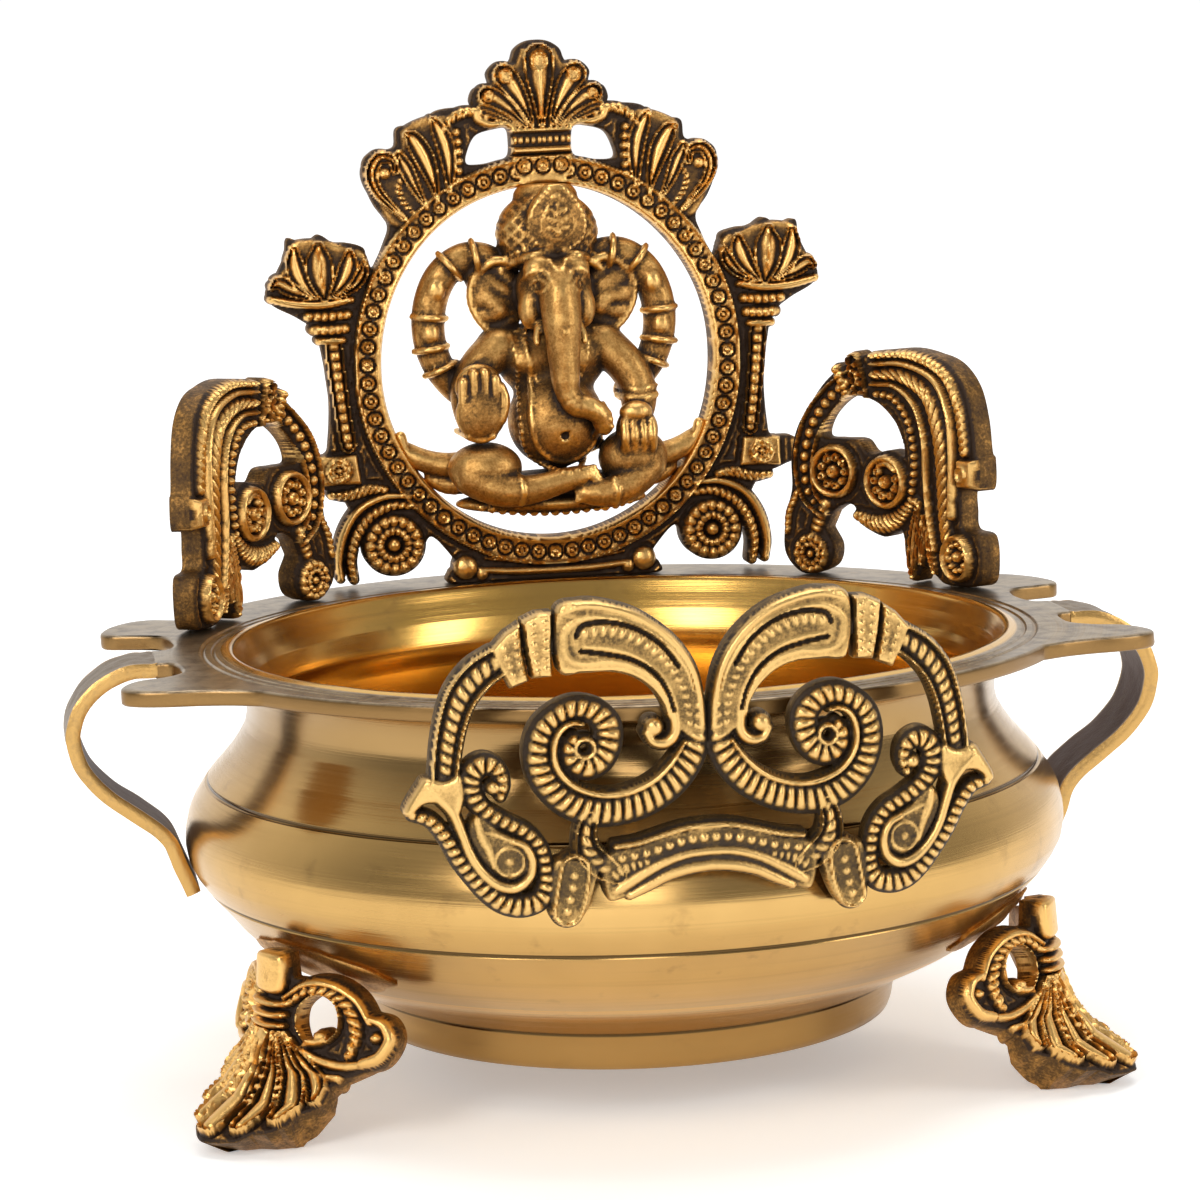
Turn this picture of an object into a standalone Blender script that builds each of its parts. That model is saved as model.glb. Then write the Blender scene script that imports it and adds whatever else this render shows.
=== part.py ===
"""Brass urli bowl: a turned bowl with strap handles, cast ornaments, a seated figure and three legs.

Lengths are in millimetres here and are scaled to metres when an object is made. +X is the right
side, -Y the front and +Z up. Every piece hangs on one empty, which sits on the bowl's axis at the
flange's top face, so a height z below 0 is under the flange.
"""
import bpy
import bmesh
from math import cos, pi, radians, sin
from mathutils import Matrix, Vector

MM = 0.001
GAP = 0.3                 # clearance between two pieces that touch

# Whole object
FLANGE_HEIGHT = 99.0      # the flange's top face above the ground
BOWL_AXIS_Y = -7.1        # puts the origin under the middle of the footprint

# Bowl
TURNED_FLANGE_RADIUS = 96.0
FLANGE_RADIUS = 106.0
FLANGE_CENTRE_Y = 5.0     # the flange is wider at the back, where the ornaments stand
FLANGE_THICKNESS = 3.5
BOWL_SEGMENTS = 48

# Ornaments
PANEL_Y = 97.0            # middle of the back panel's thickness
PANEL_THICKNESS = 7.0
RING_CENTRE_Z = 55.8
RING_INNER = (42.3, 44.6)
WING_RADIUS = 103.0
WING_THICKNESS = 6.5
FRONT_THICKNESS = 5.0
FRONT_BEND_RADIUS = 240.0

# Legs
LEG_ANGLES = {"leg_left": -60.0, "leg_right": 60.0, "leg_back": 180.0}
LEG_THICKNESS = 5.0
LEG_FOLD = radians(28.0)  # how far each half of a leg is swept back

# Handles
STRAP_WIDTH = 19.0
STRAP_CENTRE_Y = 3.0
STRAP_THICKNESS = 3.3

# Screws
SCREW_RADIUS = 1.8
SCREW_HEAD_RADIUS = 3.4
SCREW_HEAD_HEIGHT = 2.0
SCREW_REACH = 5.5         # how far a screw stands above the flange's top face

BOWL_INSIDE = [(0, -76.5), (32, -76.5), (56, -74.3), (71, -69.8), (80, -65), (88.5, -58.5),
               (95, -51.5), (98.2, -42), (96, -34.5), (89, -25.5), (83.6, -18), (83.2, -12.5),
               (87.2, -3), (88.4, 0), (89.5, 0.7), (90.6, 0.7), (91.6, 0)]
BOWL_OUTSIDE = [(90.5, -3.7), (88, -6), (86.2, -13), (86.8, -17), (90.5, -23), (96, -29.2),
                (100, -35.5), (101.5, -42), (100.8, -47.5), (97.6, -52.8), (94, -57), (90.3, -61.5),
                (86, -65.5), (80, -69.8), (70.6, -74.6), (64, -78), (62.3, -79.2), (61.6, -83),
                (60.2, -87.3), (57, -87.3), (57.3, -82.5), (54, -79.8), (0, -79.8)]

# The two prongs beside the right-hand strap, each from the front backwards
FRONT_PRONG = [(87, -51.5), (93.3, -48.5), (99.7, -46.8), (106.2, -46), (112.4, -44), (115.7, -40.5),
               (115, -34.5), (111.5, -29), (106, -26.3), (102, -21.5), (101.8, -14), (102.8, -7.6)]
BACK_PRONG = [(102.8, 13.8), (101.5, 19), (101.6, 27), (103.8, 34.5), (110.5, 37.6), (116, 39.5),
              (117.3, 44.5), (114.8, 53), (109.5, 60.2), (103.7, 61.6), (98, 58)]
TONGUE_TIP_X = 107.0

STRAP_ROUTE = [(107.3, -1.75), (112.5, -1.9), (118, -4), (122.8, -8), (125.4, -13), (125.8, -18),
               (123.5, -24.5), (118.2, -30.5), (111.5, -35.5), (106, -40.5), (103.4, -46.5),
               (100.6, -53.5)]

# Right halves of the symmetric plates, as (x, z), from the bottom centre to the top centre
PANEL_HALF = [(0, 0), (13, 0), (26.8, 0), (27.3, 3), (25.5, 5.2), (27, 8), (31.5, 12.5),
              (34, 9), (37.5, 5.6), (41.5, 4.6), (46, 6.5), (49, 11), (51, 18), (54, 23.5),
              (58.2, 27), (58, 33.5), (56.3, 38), (56, 48), (57, 58), (58.8, 65.5), (64, 69.8),
              (70, 72.3), (71.8, 76), (69, 80.5), (66.3, 85), (66.2, 91), (60.5, 89.5), (55.5, 92),
              (50, 89.5), (44, 90.8), (45.5, 84.5), (43.4, 81), (40.3, 87), (39.5, 91.5),
              (42.5, 95.5), (45.3, 103), (45.3, 108.5), (42, 111.3), (37, 112.5), (35.6, 117.3),
              (29.5, 118.5), (26, 121.5), (19.5, 121.5), (16.3, 118.8), (16.6, 125), (13.3, 130),
              (8.5, 134.3), (4, 136.4), (0, 137.3)]
PANEL_GAP = [(8, 106), (7.6, 111), (8.6, 115), (12.5, 115.5), (16.5, 112.5), (16, 108), (12.5, 105.3)]

FRONT_HALF = [(0, -33.3), (9, -33.9), (17, -35.5), (21.3, -38), (23.3, -42.8), (27.5, -43.3),
              (31.3, -42), (33, -36.5), (36, -40.3), (41.5, -40.3), (46.5, -35.2), (52, -27.3),
              (57.2, -18), (60.5, -15.5), (61, -11.3), (55.8, -9), (55, -3), (52.5, 5), (48.3, 13),
              (42.8, 20), (36.5, 23.5), (29.5, 23.6), (21, 23.2), (12.7, 20.6), (5, 14.5), (1.8, 8),
              (0, -1)]
FRONT_CRESCENT = [(49.8, 2), (45.5, 7), (37.5, 7), (28, 7), (20, 6), (13.8, 0.5), (12.8, -6.5),
                  (15, -7.5), (16.2, -2), (20, 2.5), (26, 4.3), (32.5, 2), (36.3, -4), (37.5, -9),
                  (41.5, -6.5), (46, -6), (50.2, -9), (51.3, -4)]
FRONT_MIDDLE_GAP = [(0, -23.6), (5, -22), (6.6, -17), (3.5, -14.5), (0, -13.8)]

# Wing outline as (angle round the bowl from the back in degrees, z)
WING_OUTLINE = [(31.5, 24), (34.5, 14), (34.8, 5), (36.5, 1), (38.8, 0), (41.5, 2.5), (42.2, 7.5),
                (39.8, 13), (40.5, 17), (45, 17.5), (50, 17), (53.6, 13), (54.2, 6), (55.8, -0.5),
                (57.6, 4), (60.2, 2), (62.2, 0), (66.2, 0), (68.6, 4), (69, 10), (67, 17),
                (69.2, 24), (70.5, 32), (69.8, 42), (67.8, 50), (63.8, 55.3), (58.2, 57.6),
                (51, 57.5), (44, 55), (38.8, 48.5), (35.5, 41), (31.5, 37), (31, 30)]
WING_OPENING = [(41, 33.5), (42.8, 41.5), (46.5, 45.5), (51, 43.5), (53.6, 36.5), (53.8, 30.5),
                (49, 28.3), (43.5, 30)]
WING_FOOT_ANGLE = radians(64.2)

# Half a leg as (distance sideways in the leg's own sheet, distance down its spine)
LEG_HALF = [(0, 0), (3.6, 0.5), (4.6, 6), (10, 6.5), (17, 7.5), (23, 12), (27.5, 15), (30.5, 19),
            (29.8, 23.5), (25.5, 26), (20, 30), (17.3, 34), (14.5, 41), (9, 46.5), (0, 48.5)]
LEG_LOOP = [(12, 9.5), (16, 12), (16.5, 17), (13, 21), (8.5, 20), (6.3, 15.5), (8, 11)]
LEG_SPINE = [(97.6, -57.2), (98.3, -66), (99.8, -75), (103.3, -83.5), (109, -90.8), (118, -96.2)]
FOOT_EXTRA = 9.0          # how much thicker a foot is than the sheet above it

# The figure's rounded masses as (centre, half sizes), in x, y, z
FIGURE_MASSES = [
    ((0, 91, 19.5), (24, 9.5, 3.6)),       # seat
    ((0, 88.5, 41), (12.5, 10, 12.5)),     # belly
    ((0, 92, 56), (15, 7.5, 11)),          # chest
    ((0, 89, 75), (11, 9, 10)),            # head
    ((-14, 91.5, 73), (6.5, 3.2, 9)),      # ears
    ((14, 91.5, 73), (6.5, 3.2, 9)),
    ((0, 90.5, 88), (12, 8, 9)),           # crown
    ((0, 93, 97), (8, 5, 5)),
    ((-19, 85, 46), (6, 4, 9)),            # raised palm
    ((19, 85, 41), (5.5, 5, 7)),           # resting hand
    ((-18, 86, 29), (9, 8.5, 7.5)),        # knees
    ((18, 86, 29), (9, 8.5, 7.5)),
    ((0, 82.5, 25), (13, 5, 4)),           # crossed feet
]
# The figure's limbs as (points, radius)
FIGURE_LIMBS = [
    ([(0, 81, 72), (0.5, 79.5, 62), (1, 79, 52), (4, 79, 44), (9, 80, 41.5)], 4.0),
    ([(-12, 93, 66), (-17, 93, 78), (-25, 93, 78), (-29, 93, 68), (-29, 93, 58), (-22, 92, 52)], 3.9),
    ([(12, 93, 66), (15, 93, 78), (22, 93, 77), (26, 93, 68), (26, 93, 58), (20, 92, 50)], 3.9),
    ([(-13, 92, 60), (-20, 90, 52)], 4.5),
    ([(13, 92, 60), (19, 90, 48)], 4.5),
    ([(-20, 94, 30), (-30, 95, 31), (-41, 96, 37)], 3.6),
    ([(20, 94, 30), (30, 95, 31), (41, 96, 37)], 3.6),
]
FIGURE_VOXEL = 3.4

BRASS = {
    "polished": ((0.86, 0.66, 0.36, 1), 0.22),
    "antique": ((0.60, 0.40, 0.16, 1), 0.42),
    "cast": ((0.62, 0.46, 0.22, 1), 0.38),
    "steel": ((0.55, 0.54, 0.52, 1), 0.35),
}


def clear_scene():
    for obj in list(bpy.data.objects):
        bpy.data.objects.remove(obj, do_unlink=True)


def make_material(name, finish):
    colour, roughness = BRASS[finish]
    mat = bpy.data.materials.new(name)
    mat.use_nodes = True
    shader = mat.node_tree.nodes["Principled BSDF"]
    shader.inputs["Base Color"].default_value = colour
    shader.inputs["Metallic"].default_value = 1.0
    shader.inputs["Roughness"].default_value = roughness
    return mat


def make_mesh(name, bm, finish):
    """Turn a bmesh in millimetres into a mesh in metres with its own material."""
    bmesh.ops.scale(bm, vec=(MM, MM, MM), verts=bm.verts)
    bmesh.ops.recalc_face_normals(bm, faces=bm.faces)
    mesh = bpy.data.meshes.new(name)
    bm.to_mesh(mesh)
    bm.free()
    mesh.materials.append(make_material(name, finish))
    mesh.shade_smooth()
    mesh.set_sharp_from_angle(angle=radians(35))
    return mesh


def place(name, mesh, root, turn=0.0):
    obj = bpy.data.objects.new(name, mesh)
    bpy.context.scene.collection.objects.link(obj)
    obj.parent = root
    obj.rotation_euler[2] = turn
    return obj


def circle(radius, centre=(0.0, 0.0), count=12):
    steps = (2 * pi * i / count for i in range(count))
    return [(centre[0] + radius * cos(a), centre[1] + radius * sin(a)) for a in steps]


def mirrored(half):
    """Close a right half, given from the bottom centre to the top centre, with its left half."""
    return half + [(-x, z) for x, z in reversed(half[1:-1])]


def smooth(points, steps=2, closed=True):
    """Points along the Catmull-Rom curve through a few chosen points."""
    count = len(points)
    out = []
    for i in range(count if closed else count - 1):
        if closed:
            p = [Vector(points[(i + k) % count]) for k in (-1, 0, 1, 2)]
        else:
            p = [Vector(points[min(max(i + k, 0), count - 1)]) for k in (-1, 0, 1, 2)]
        for s in range(steps):
            t = s / steps
            out.append(0.5 * (2 * p[1] + (p[2] - p[0]) * t + (2 * p[0] - 5 * p[1] + 4 * p[2] - p[3]) * t ** 2
                              + (3 * p[1] - p[0] - 3 * p[2] + p[3]) * t ** 3))
    if not closed:
        out.append(Vector(points[-1]))
    return [tuple(v) for v in out]


def plate(loops, thickness):
    """A flat plate in the XY plane: closed outlines with holes, filled and extruded about z = 0."""
    curve = bpy.data.curves.new("outline", "CURVE")
    curve.dimensions = "2D"
    curve.fill_mode = "BOTH"
    curve.extrude = thickness / 2
    for loop in loops:
        spline = curve.splines.new("POLY")
        spline.points.add(len(loop) - 1)
        for point, (x, y) in zip(spline.points, loop):
            point.co = (x, y, 0, 1)
        spline.use_cyclic_u = True
    obj = bpy.data.objects.new("outline", curve)
    bpy.context.scene.collection.objects.link(obj)
    mesh = bpy.data.meshes.new_from_object(obj.evaluated_get(bpy.context.evaluated_depsgraph_get()))
    bm = bmesh.new()
    bm.from_mesh(mesh)
    bmesh.ops.remove_doubles(bm, verts=bm.verts, dist=0.001)
    bpy.data.objects.remove(obj)
    bpy.data.meshes.remove(mesh)
    return bm


def split_every(bm, axis, step):
    """Cut a plate along parallel lines, so that it can bend without breaking its flat faces."""
    values = [v.co[axis] for v in bm.verts]
    normal = Vector((0, 0, 0))
    normal[axis] = 1
    at = (int(min(values) / step) - 1) * step
    while at < max(values):
        geometry = bm.verts[:] + bm.edges[:] + bm.faces[:]
        bmesh.ops.bisect_plane(bm, geom=geometry, plane_co=normal * at, plane_no=normal, dist=0.02)
        at += step


def bend(bm, surface):
    bmesh.ops.triangulate(bm, faces=bm.faces)
    for v in bm.verts:
        v.co = surface(*v.co)


def cut_flat(bm, point, normal):
    """Cut away what lies beyond a plane and close the cut."""
    geometry = bm.verts[:] + bm.edges[:] + bm.faces[:]
    cut = bmesh.ops.bisect_plane(bm, geom=geometry, plane_co=point, plane_no=normal, clear_outer=True)
    edges = [e for e in cut["geom_cut"] if isinstance(e, bmesh.types.BMEdge)]
    bmesh.ops.triangle_fill(bm, edges=edges, use_beauty=True)


def turned_strip(bm, profile):
    """Spin an open profile round the axis."""
    verts = [bm.verts.new((r, 0, z)) for r, z in profile]
    edges = [bm.edges.new(pair) for pair in zip(verts, verts[1:])]
    bmesh.ops.spin(bm, geom=verts + edges, cent=(0, 0, 0), axis=(0, 0, 1), angle=2 * pi,
                   steps=BOWL_SEGMENTS, use_merge=True)


def screw_places():
    """Where the four screws stand on the flange, by name."""
    places = {}
    for side, sign in (("left", -1), ("right", 1)):
        places["panel_screw_" + side] = (sign * 17.0, PANEL_Y)
        places["wing_screw_" + side] = (sign * WING_RADIUS * sin(WING_FOOT_ANGLE),
                                        WING_RADIUS * cos(WING_FOOT_ANGLE))
    return places


def flange_outline():
    """The eccentric flange with its three-pronged lugs at the right and left."""
    tongue = [(TONGUE_TIP_X, STRAP_CENTRE_Y + side * (STRAP_WIDTH / 2 - 0.2)) for side in (-1, 1)]
    right = smooth(FRONT_PRONG, 2, closed=False) + tongue + smooth(BACK_PRONG, 2, closed=False)
    left = [(-x, y) for x, y in reversed(right)]
    back = flange_arc(right[-1], left[0])
    front = flange_arc(left[-1], right[0])
    return right + back[1:-1] + left + front[1:-1]


def flange_arc(start, end, steps=16):
    """The flange's edge from one point to another, turning anticlockwise."""
    a = Vector((start[0], start[1] - FLANGE_CENTRE_Y))
    b = Vector((end[0], end[1] - FLANGE_CENTRE_Y))
    turn = -a.angle_signed(b) % (2 * pi)
    points = []
    for i in range(steps + 1):
        arm = Matrix.Rotation(turn * i / steps, 2) @ a
        arm = arm.normalized() * (a.length + (b.length - a.length) * i / steps)
        points.append((arm.x, arm.y + FLANGE_CENTRE_Y))
    return points


def make_bowl():
    seam = circle(TURNED_FLANGE_RADIUS, count=BOWL_SEGMENTS)
    holes = [circle(SCREW_RADIUS + GAP, place_) for place_ in screw_places().values()]
    bm = plate([flange_outline(), seam] + holes, FLANGE_THICKNESS)
    bmesh.ops.translate(bm, vec=(0, 0, -FLANGE_THICKNESS / 2), verts=bm.verts)
    on_seam = {v for v in bm.verts if abs(v.co.xy.length - TURNED_FLANGE_RADIUS) < 0.01}
    walls = [f for f in bm.faces if all(v in on_seam for v in f.verts)]
    bmesh.ops.delete(bm, geom=walls, context="FACES")
    turned_strip(bm, BOWL_INSIDE + [(TURNED_FLANGE_RADIUS, 0)])
    turned_strip(bm, [(TURNED_FLANGE_RADIUS, -FLANGE_THICKNESS)] + BOWL_OUTSIDE)
    bmesh.ops.remove_doubles(bm, verts=bm.verts, dist=0.01)
    return make_mesh("bowl", bm, "polished")


def make_handle():
    """A strap, built for the right side: its route offset both ways and extruded across."""
    route = smooth(STRAP_ROUTE, 2, closed=False)
    sides = ([], [])
    for i, point in enumerate(route):
        ahead = Vector(route[min(i + 1, len(route) - 1)]) - Vector(route[max(i - 1, 0)])
        across = Vector((-ahead.y, ahead.x)).normalized() * STRAP_THICKNESS / 2
        sides[0].append(tuple(Vector(point) + across))
        sides[1].append(tuple(Vector(point) - across))
    bm = plate([sides[0] + sides[1][::-1]], STRAP_WIDTH)
    bend(bm, lambda x, z, y: (x, y + STRAP_CENTRE_Y, z))
    return make_mesh("handle", bm, "polished")


def make_panel():
    ring = [(RING_INNER[0] * x, RING_CENTRE_Z + RING_INNER[1] * z) for x, z in circle(1, count=40)]
    gaps = [PANEL_GAP, [(-x, z) for x, z in PANEL_GAP]]
    bm = plate([smooth(mirrored(PANEL_HALF)), ring] + [smooth(gap) for gap in gaps], PANEL_THICKNESS)
    bend(bm, lambda x, z, y: (x, PANEL_Y + y, z))
    cut_flat(bm, (0, 0, GAP), (0, 0, -1))
    return make_mesh("back_panel", bm, "antique")


def wing_surface(along, z, depth):
    angle = along / WING_RADIUS
    radius = WING_RADIUS + depth
    return radius * sin(angle), radius * cos(angle), z


def make_wing():
    """The right wing: a flat outline rolled round the bowl, cut off where it laps on the panel."""
    loops = [[(radians(a) * WING_RADIUS, z) for a, z in loop] for loop in (WING_OUTLINE, WING_OPENING)]
    bm = plate([smooth(loop) for loop in loops], WING_THICKNESS)
    split_every(bm, 0, 9.0)
    bend(bm, wing_surface)
    cut_flat(bm, (0, 0, GAP), (0, 0, -1))
    cut_flat(bm, (0, PANEL_Y - PANEL_THICKNESS / 2 - GAP, 0), (0, 1, 0))
    return make_mesh("wing", bm, "antique")


def front_surface(x, z, depth):
    y = FLANGE_CENTRE_Y - FLANGE_RADIUS - GAP - FRONT_THICKNESS / 2
    return x, y - depth + x * x / (2 * FRONT_BEND_RADIUS), z


def make_front_plate():
    left = [(-x, z) for x, z in FRONT_CRESCENT]
    middle = mirrored(FRONT_MIDDLE_GAP)
    loops = [mirrored(FRONT_HALF), FRONT_CRESCENT, left, middle]
    bm = plate([smooth(loop) for loop in loops], FRONT_THICKNESS)
    split_every(bm, 0, 30.0)
    bend(bm, front_surface)
    return make_mesh("front_plate", bm, "cast")


def leg_spine(down):
    """The spine's place and its outward normal in the (radius, z) plane."""
    points = [Vector(p) for p in LEG_SPINE]
    for a, b in zip(points, points[1:]):
        length = (b - a).length
        if down <= length or b is points[-1]:
            break
        down -= length
    along = (b - a).normalized()
    return a + along * down, Vector((-along.y, along.x))


def leg_surface(side, down, depth):
    """Sweep both halves back from the spine and thicken the foot inwards."""
    place_, normal = leg_spine(down)
    if depth < 0:
        depth -= FOOT_EXTRA * min(max((down - 28) / 14, 0), 1)
    fold = LEG_FOLD * min(1, 1.6 - down / 60)
    swing = (side > 0) - (side < 0)
    radius = place_.x - abs(side) * sin(fold) + depth * normal.x * cos(fold)
    return radius, side * cos(fold) + swing * depth * sin(fold), place_.y + depth * normal.y


def make_bracket():
    """The strip at a leg's top that lies along the belly, with the usual gap."""
    bm = bmesh.new()
    rows = []
    belly = [p for p in BOWL_OUTSIDE if -70 < p[1] < -56]
    for r, z in [(r + 2 * GAP, z) for r, z in belly] + [(r + 3.5, z) for r, z in reversed(belly)]:
        turns = [radians(a) for a in range(-16, 17, 4)]
        rows.append([bm.verts.new((r * cos(a), r * sin(a), z)) for a in turns])
    for low, high in zip(rows, rows[1:] + rows[:1]):
        for i in range(len(low) - 1):
            bm.faces.new((low[i], low[i + 1], high[i + 1], high[i]))
    bm.faces.new([row[0] for row in rows])
    bm.faces.new([row[-1] for row in reversed(rows)])
    return bm


def make_leg(root):
    """One leg pointing along +X: the folded sheet with its loops, joined to the bracket."""
    outline = mirrored(LEG_HALF)
    bm = plate([outline, LEG_LOOP, [(-x, y) for x, y in LEG_LOOP]], LEG_THICKNESS)
    split_every(bm, 0, 12.0)
    split_every(bm, 1, 12.0)
    bend(bm, leg_surface)
    cut_flat(bm, (0, 0, -FLANGE_HEIGHT), (0, 0, -1))
    leg = place("leg_sheet", make_mesh("leg", bm, "antique"), root)
    bracket = place("bracket_guide", make_mesh("bracket", make_bracket(), "antique"), root)
    return join_by_boolean(leg, bracket, "UNION")


def join_by_boolean(obj, other, operation):
    """Apply an exact Boolean and return the result's mesh, without the two objects."""
    modifier = obj.modifiers.new(operation.lower(), "BOOLEAN")
    modifier.operation = operation
    modifier.object = other
    bpy.context.view_layer.update()
    mesh = bpy.data.meshes.new_from_object(obj.evaluated_get(bpy.context.evaluated_depsgraph_get()))
    bpy.data.objects.remove(obj)
    bpy.data.objects.remove(other)
    return mesh


def add_mass(bm, centre, half_sizes):
    made = bmesh.ops.create_uvsphere(bm, u_segments=16, v_segments=10, radius=1)
    bmesh.ops.transform(bm, verts=made["verts"],
                        matrix=Matrix.Translation(centre) @ Matrix.Diagonal((*half_sizes, 1)))


def add_limb(bm, points, radius):
    """A chain of overlapping balls along a limb."""
    for a, b in zip(points, points[1:]):
        a, b = Vector(a), Vector(b)
        count = int((b - a).length / (radius * 0.45)) + 1
        for i in range(count + 1):
            add_mass(bm, a.lerp(b, i / count), (radius, radius, radius))


def make_figure(root):
    """The seated figure, fused from its masses and trimmed to the inside of the ring."""
    bm = bmesh.new()
    for centre, half_sizes in FIGURE_MASSES:
        add_mass(bm, centre, half_sizes)
    for points, radius in FIGURE_LIMBS:
        add_limb(bm, points, radius)
    figure = place("figure_masses", make_mesh("figure", bm, "antique"), root)
    remesh = figure.modifiers.new("fuse", "REMESH")
    remesh.mode = "VOXEL"
    remesh.voxel_size = FIGURE_VOXEL * MM
    inside = [((RING_INNER[0] - GAP) * x, RING_CENTRE_Z + (RING_INNER[1] - GAP) * z)
              for x, z in circle(1, count=40)]
    bm = plate([inside], 60)
    bend(bm, lambda x, z, y: (x, PANEL_Y + y, z))
    trim = place("trim_guide", make_mesh("trim", bm, "antique"), root)
    return join_by_boolean(figure, trim, "INTERSECT")


def make_screw():
    """A round-headed screw standing on its own axis, its head under the flange."""
    bm = bmesh.new()
    head_top = -FLANGE_THICKNESS - GAP
    for radius, low, high in ((SCREW_HEAD_RADIUS, head_top - SCREW_HEAD_HEIGHT, head_top),
                              (SCREW_RADIUS, head_top, SCREW_REACH)):
        ring = [bm.verts.new((x, y, low)) for x, y in circle(radius)]
        rise = [bm.verts.new((x, y, high)) for x, y in circle(radius)]
        for i in range(len(ring)):
            bm.faces.new((ring[i - 1], ring[i], rise[i], rise[i - 1]))
        if low < head_top:
            bm.faces.new(ring[::-1])
            head_rim = rise
        else:
            bm.faces.new(rise)
            for i in range(len(ring)):
                bm.faces.new((head_rim[i - 1], head_rim[i], ring[i], ring[i - 1]))
    return make_mesh("screw", bm, "steel")


def drill(mesh, root, name, places):
    """Blind holes in a piece's foot for the screws that hold it, cut one after another."""
    for x, y in places:
        obj = place(name, mesh, root)
        bm = bmesh.new()
        depth = SCREW_REACH + GAP + 1
        bmesh.ops.create_cone(bm, cap_ends=True, segments=12, radius1=SCREW_RADIUS + GAP,
                              radius2=SCREW_RADIUS + GAP, depth=depth,
                              matrix=Matrix.Translation((x, y, depth / 2 - 1)))
        cutter = place("drill_guide", make_mesh("drill", bm, "steel"), root)
        mesh = join_by_boolean(obj, cutter, "DIFFERENCE")
    return mesh


def mirror_x(mesh, name):
    """A mirrored copy of a mesh, with its faces still pointing out."""
    copy = mesh.copy()
    copy.name = name
    copy.transform(Matrix.Diagonal((-1, 1, 1, 1)))
    copy.flip_normals()
    return copy


def build():
    clear_scene()
    root = bpy.data.objects.new("urli", None)
    bpy.context.scene.collection.objects.link(root)
    root.location = (0, BOWL_AXIS_Y * MM, FLANGE_HEIGHT * MM)
    bpy.context.view_layer.update()

    places = screw_places()
    place("bowl", make_bowl(), root)

    strap = make_handle()
    place("handle_right", strap, root)
    place("handle_left", mirror_x(strap, "handle_left"), root)

    panel_holes = [places["panel_screw_left"], places["panel_screw_right"]]
    place("back_panel", drill(make_panel(), root, "panel_blank", panel_holes), root)
    wing = drill(make_wing(), root, "wing_blank", [places["wing_screw_right"]])
    place("wing_right", wing, root)
    place("wing_left", mirror_x(wing, "wing_left"), root)

    place("front_plate", make_front_plate(), root)
    place("seated_figure", make_figure(root), root)

    leg = make_leg(root)
    for name, angle in LEG_ANGLES.items():
        place(name, leg, root, turn=radians(angle - 90))

    screw = make_screw()
    for name, (x, y) in places.items():
        obj = place(name, screw, root)
        obj.location = (x * MM, y * MM, 0)


build()
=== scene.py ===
"""Looks of the brass urli bowl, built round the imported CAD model.

Shapes are drawn in millimetres from the bowl's axis and the flange's top face, as in the CAD model, and are
placed and scaled when a mesh is made. A casting is drawn as strokes on a height map, which becomes a closed
mesh; its "wear" attribute says how much a spot stands proud, and so how bright its brass is.
"""

from math import cos, hypot, pi, radians, sin

import bpy
import numpy as np
from mathutils import Matrix, Vector


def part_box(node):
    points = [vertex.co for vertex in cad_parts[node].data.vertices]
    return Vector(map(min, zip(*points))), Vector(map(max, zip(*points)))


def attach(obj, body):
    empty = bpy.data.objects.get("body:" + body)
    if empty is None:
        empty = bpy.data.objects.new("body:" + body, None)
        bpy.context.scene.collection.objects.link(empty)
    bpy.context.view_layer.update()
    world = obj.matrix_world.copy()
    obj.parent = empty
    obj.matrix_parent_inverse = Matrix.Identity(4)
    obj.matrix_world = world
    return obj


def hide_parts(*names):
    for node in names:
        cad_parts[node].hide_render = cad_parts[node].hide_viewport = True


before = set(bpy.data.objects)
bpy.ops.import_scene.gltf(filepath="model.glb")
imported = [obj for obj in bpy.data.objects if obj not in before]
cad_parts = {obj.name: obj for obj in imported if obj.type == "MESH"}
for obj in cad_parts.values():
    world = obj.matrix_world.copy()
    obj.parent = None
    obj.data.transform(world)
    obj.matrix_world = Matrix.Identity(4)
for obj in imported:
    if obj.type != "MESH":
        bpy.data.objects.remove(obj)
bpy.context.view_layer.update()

MM = 0.001
FAR = 1e3                 # a distance beyond any on a casting
FLANGE_BACK = 116.41      # from the axis to the flange's rear edge
LIP_RISE = 0.7            # the mouth's lip above the flange's top face
BOWL_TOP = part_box("bowl")[1]
ORIGIN = np.array([0.0, BOWL_TOP.y - FLANGE_BACK * MM, BOWL_TOP.z - LIP_RISE * MM])


# ---------------------------------------------------------------- curves and noise

def spline(points, closed=False, steps=7):
    """Points on the Catmull-Rom curve through the given points, whose last number may be a half width."""
    p = np.array(points, float)
    if closed:
        p = np.vstack([p[-1:], p, p[:2]])
    else:
        p = np.vstack([2 * p[:1] - p[1:2], p, 2 * p[-1:] - p[-2:-1]])
    t = np.linspace(0, 1, steps, endpoint=False)[:, None]
    parts = [0.5 * (2 * b + (c - a) * t + (2 * a - 5 * b + 4 * c - d) * t ** 2 + (3 * b - a - 3 * c + d) * t ** 3)
             for a, b, c, d in zip(p, p[1:], p[2:], p[3:])]
    out = np.vstack(parts + ([] if closed else [p[-2:-1]]))
    if out.shape[1] > 2:
        out[:, -1] = np.maximum(out[:, -1], 0.05)
    return out


def running(path):
    """Length along a path at each of its points."""
    steps = np.linalg.norm(np.diff(path, axis=0), axis=1)
    return np.concatenate([[0], np.cumsum(steps)])


def blur(a, radius):
    """Gaussian blur of a height map by a radius in grid steps."""
    reach = int(radius * 3) + 1
    x = np.arange(-reach, reach + 1)
    kernel = np.exp(-0.5 * (x / radius) ** 2)
    kernel /= kernel.sum()
    for axis in (0, 1):
        a = np.apply_along_axis(lambda line: np.convolve(np.pad(line, reach, "edge"), kernel, "valid"), axis, a)
    return a


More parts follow.
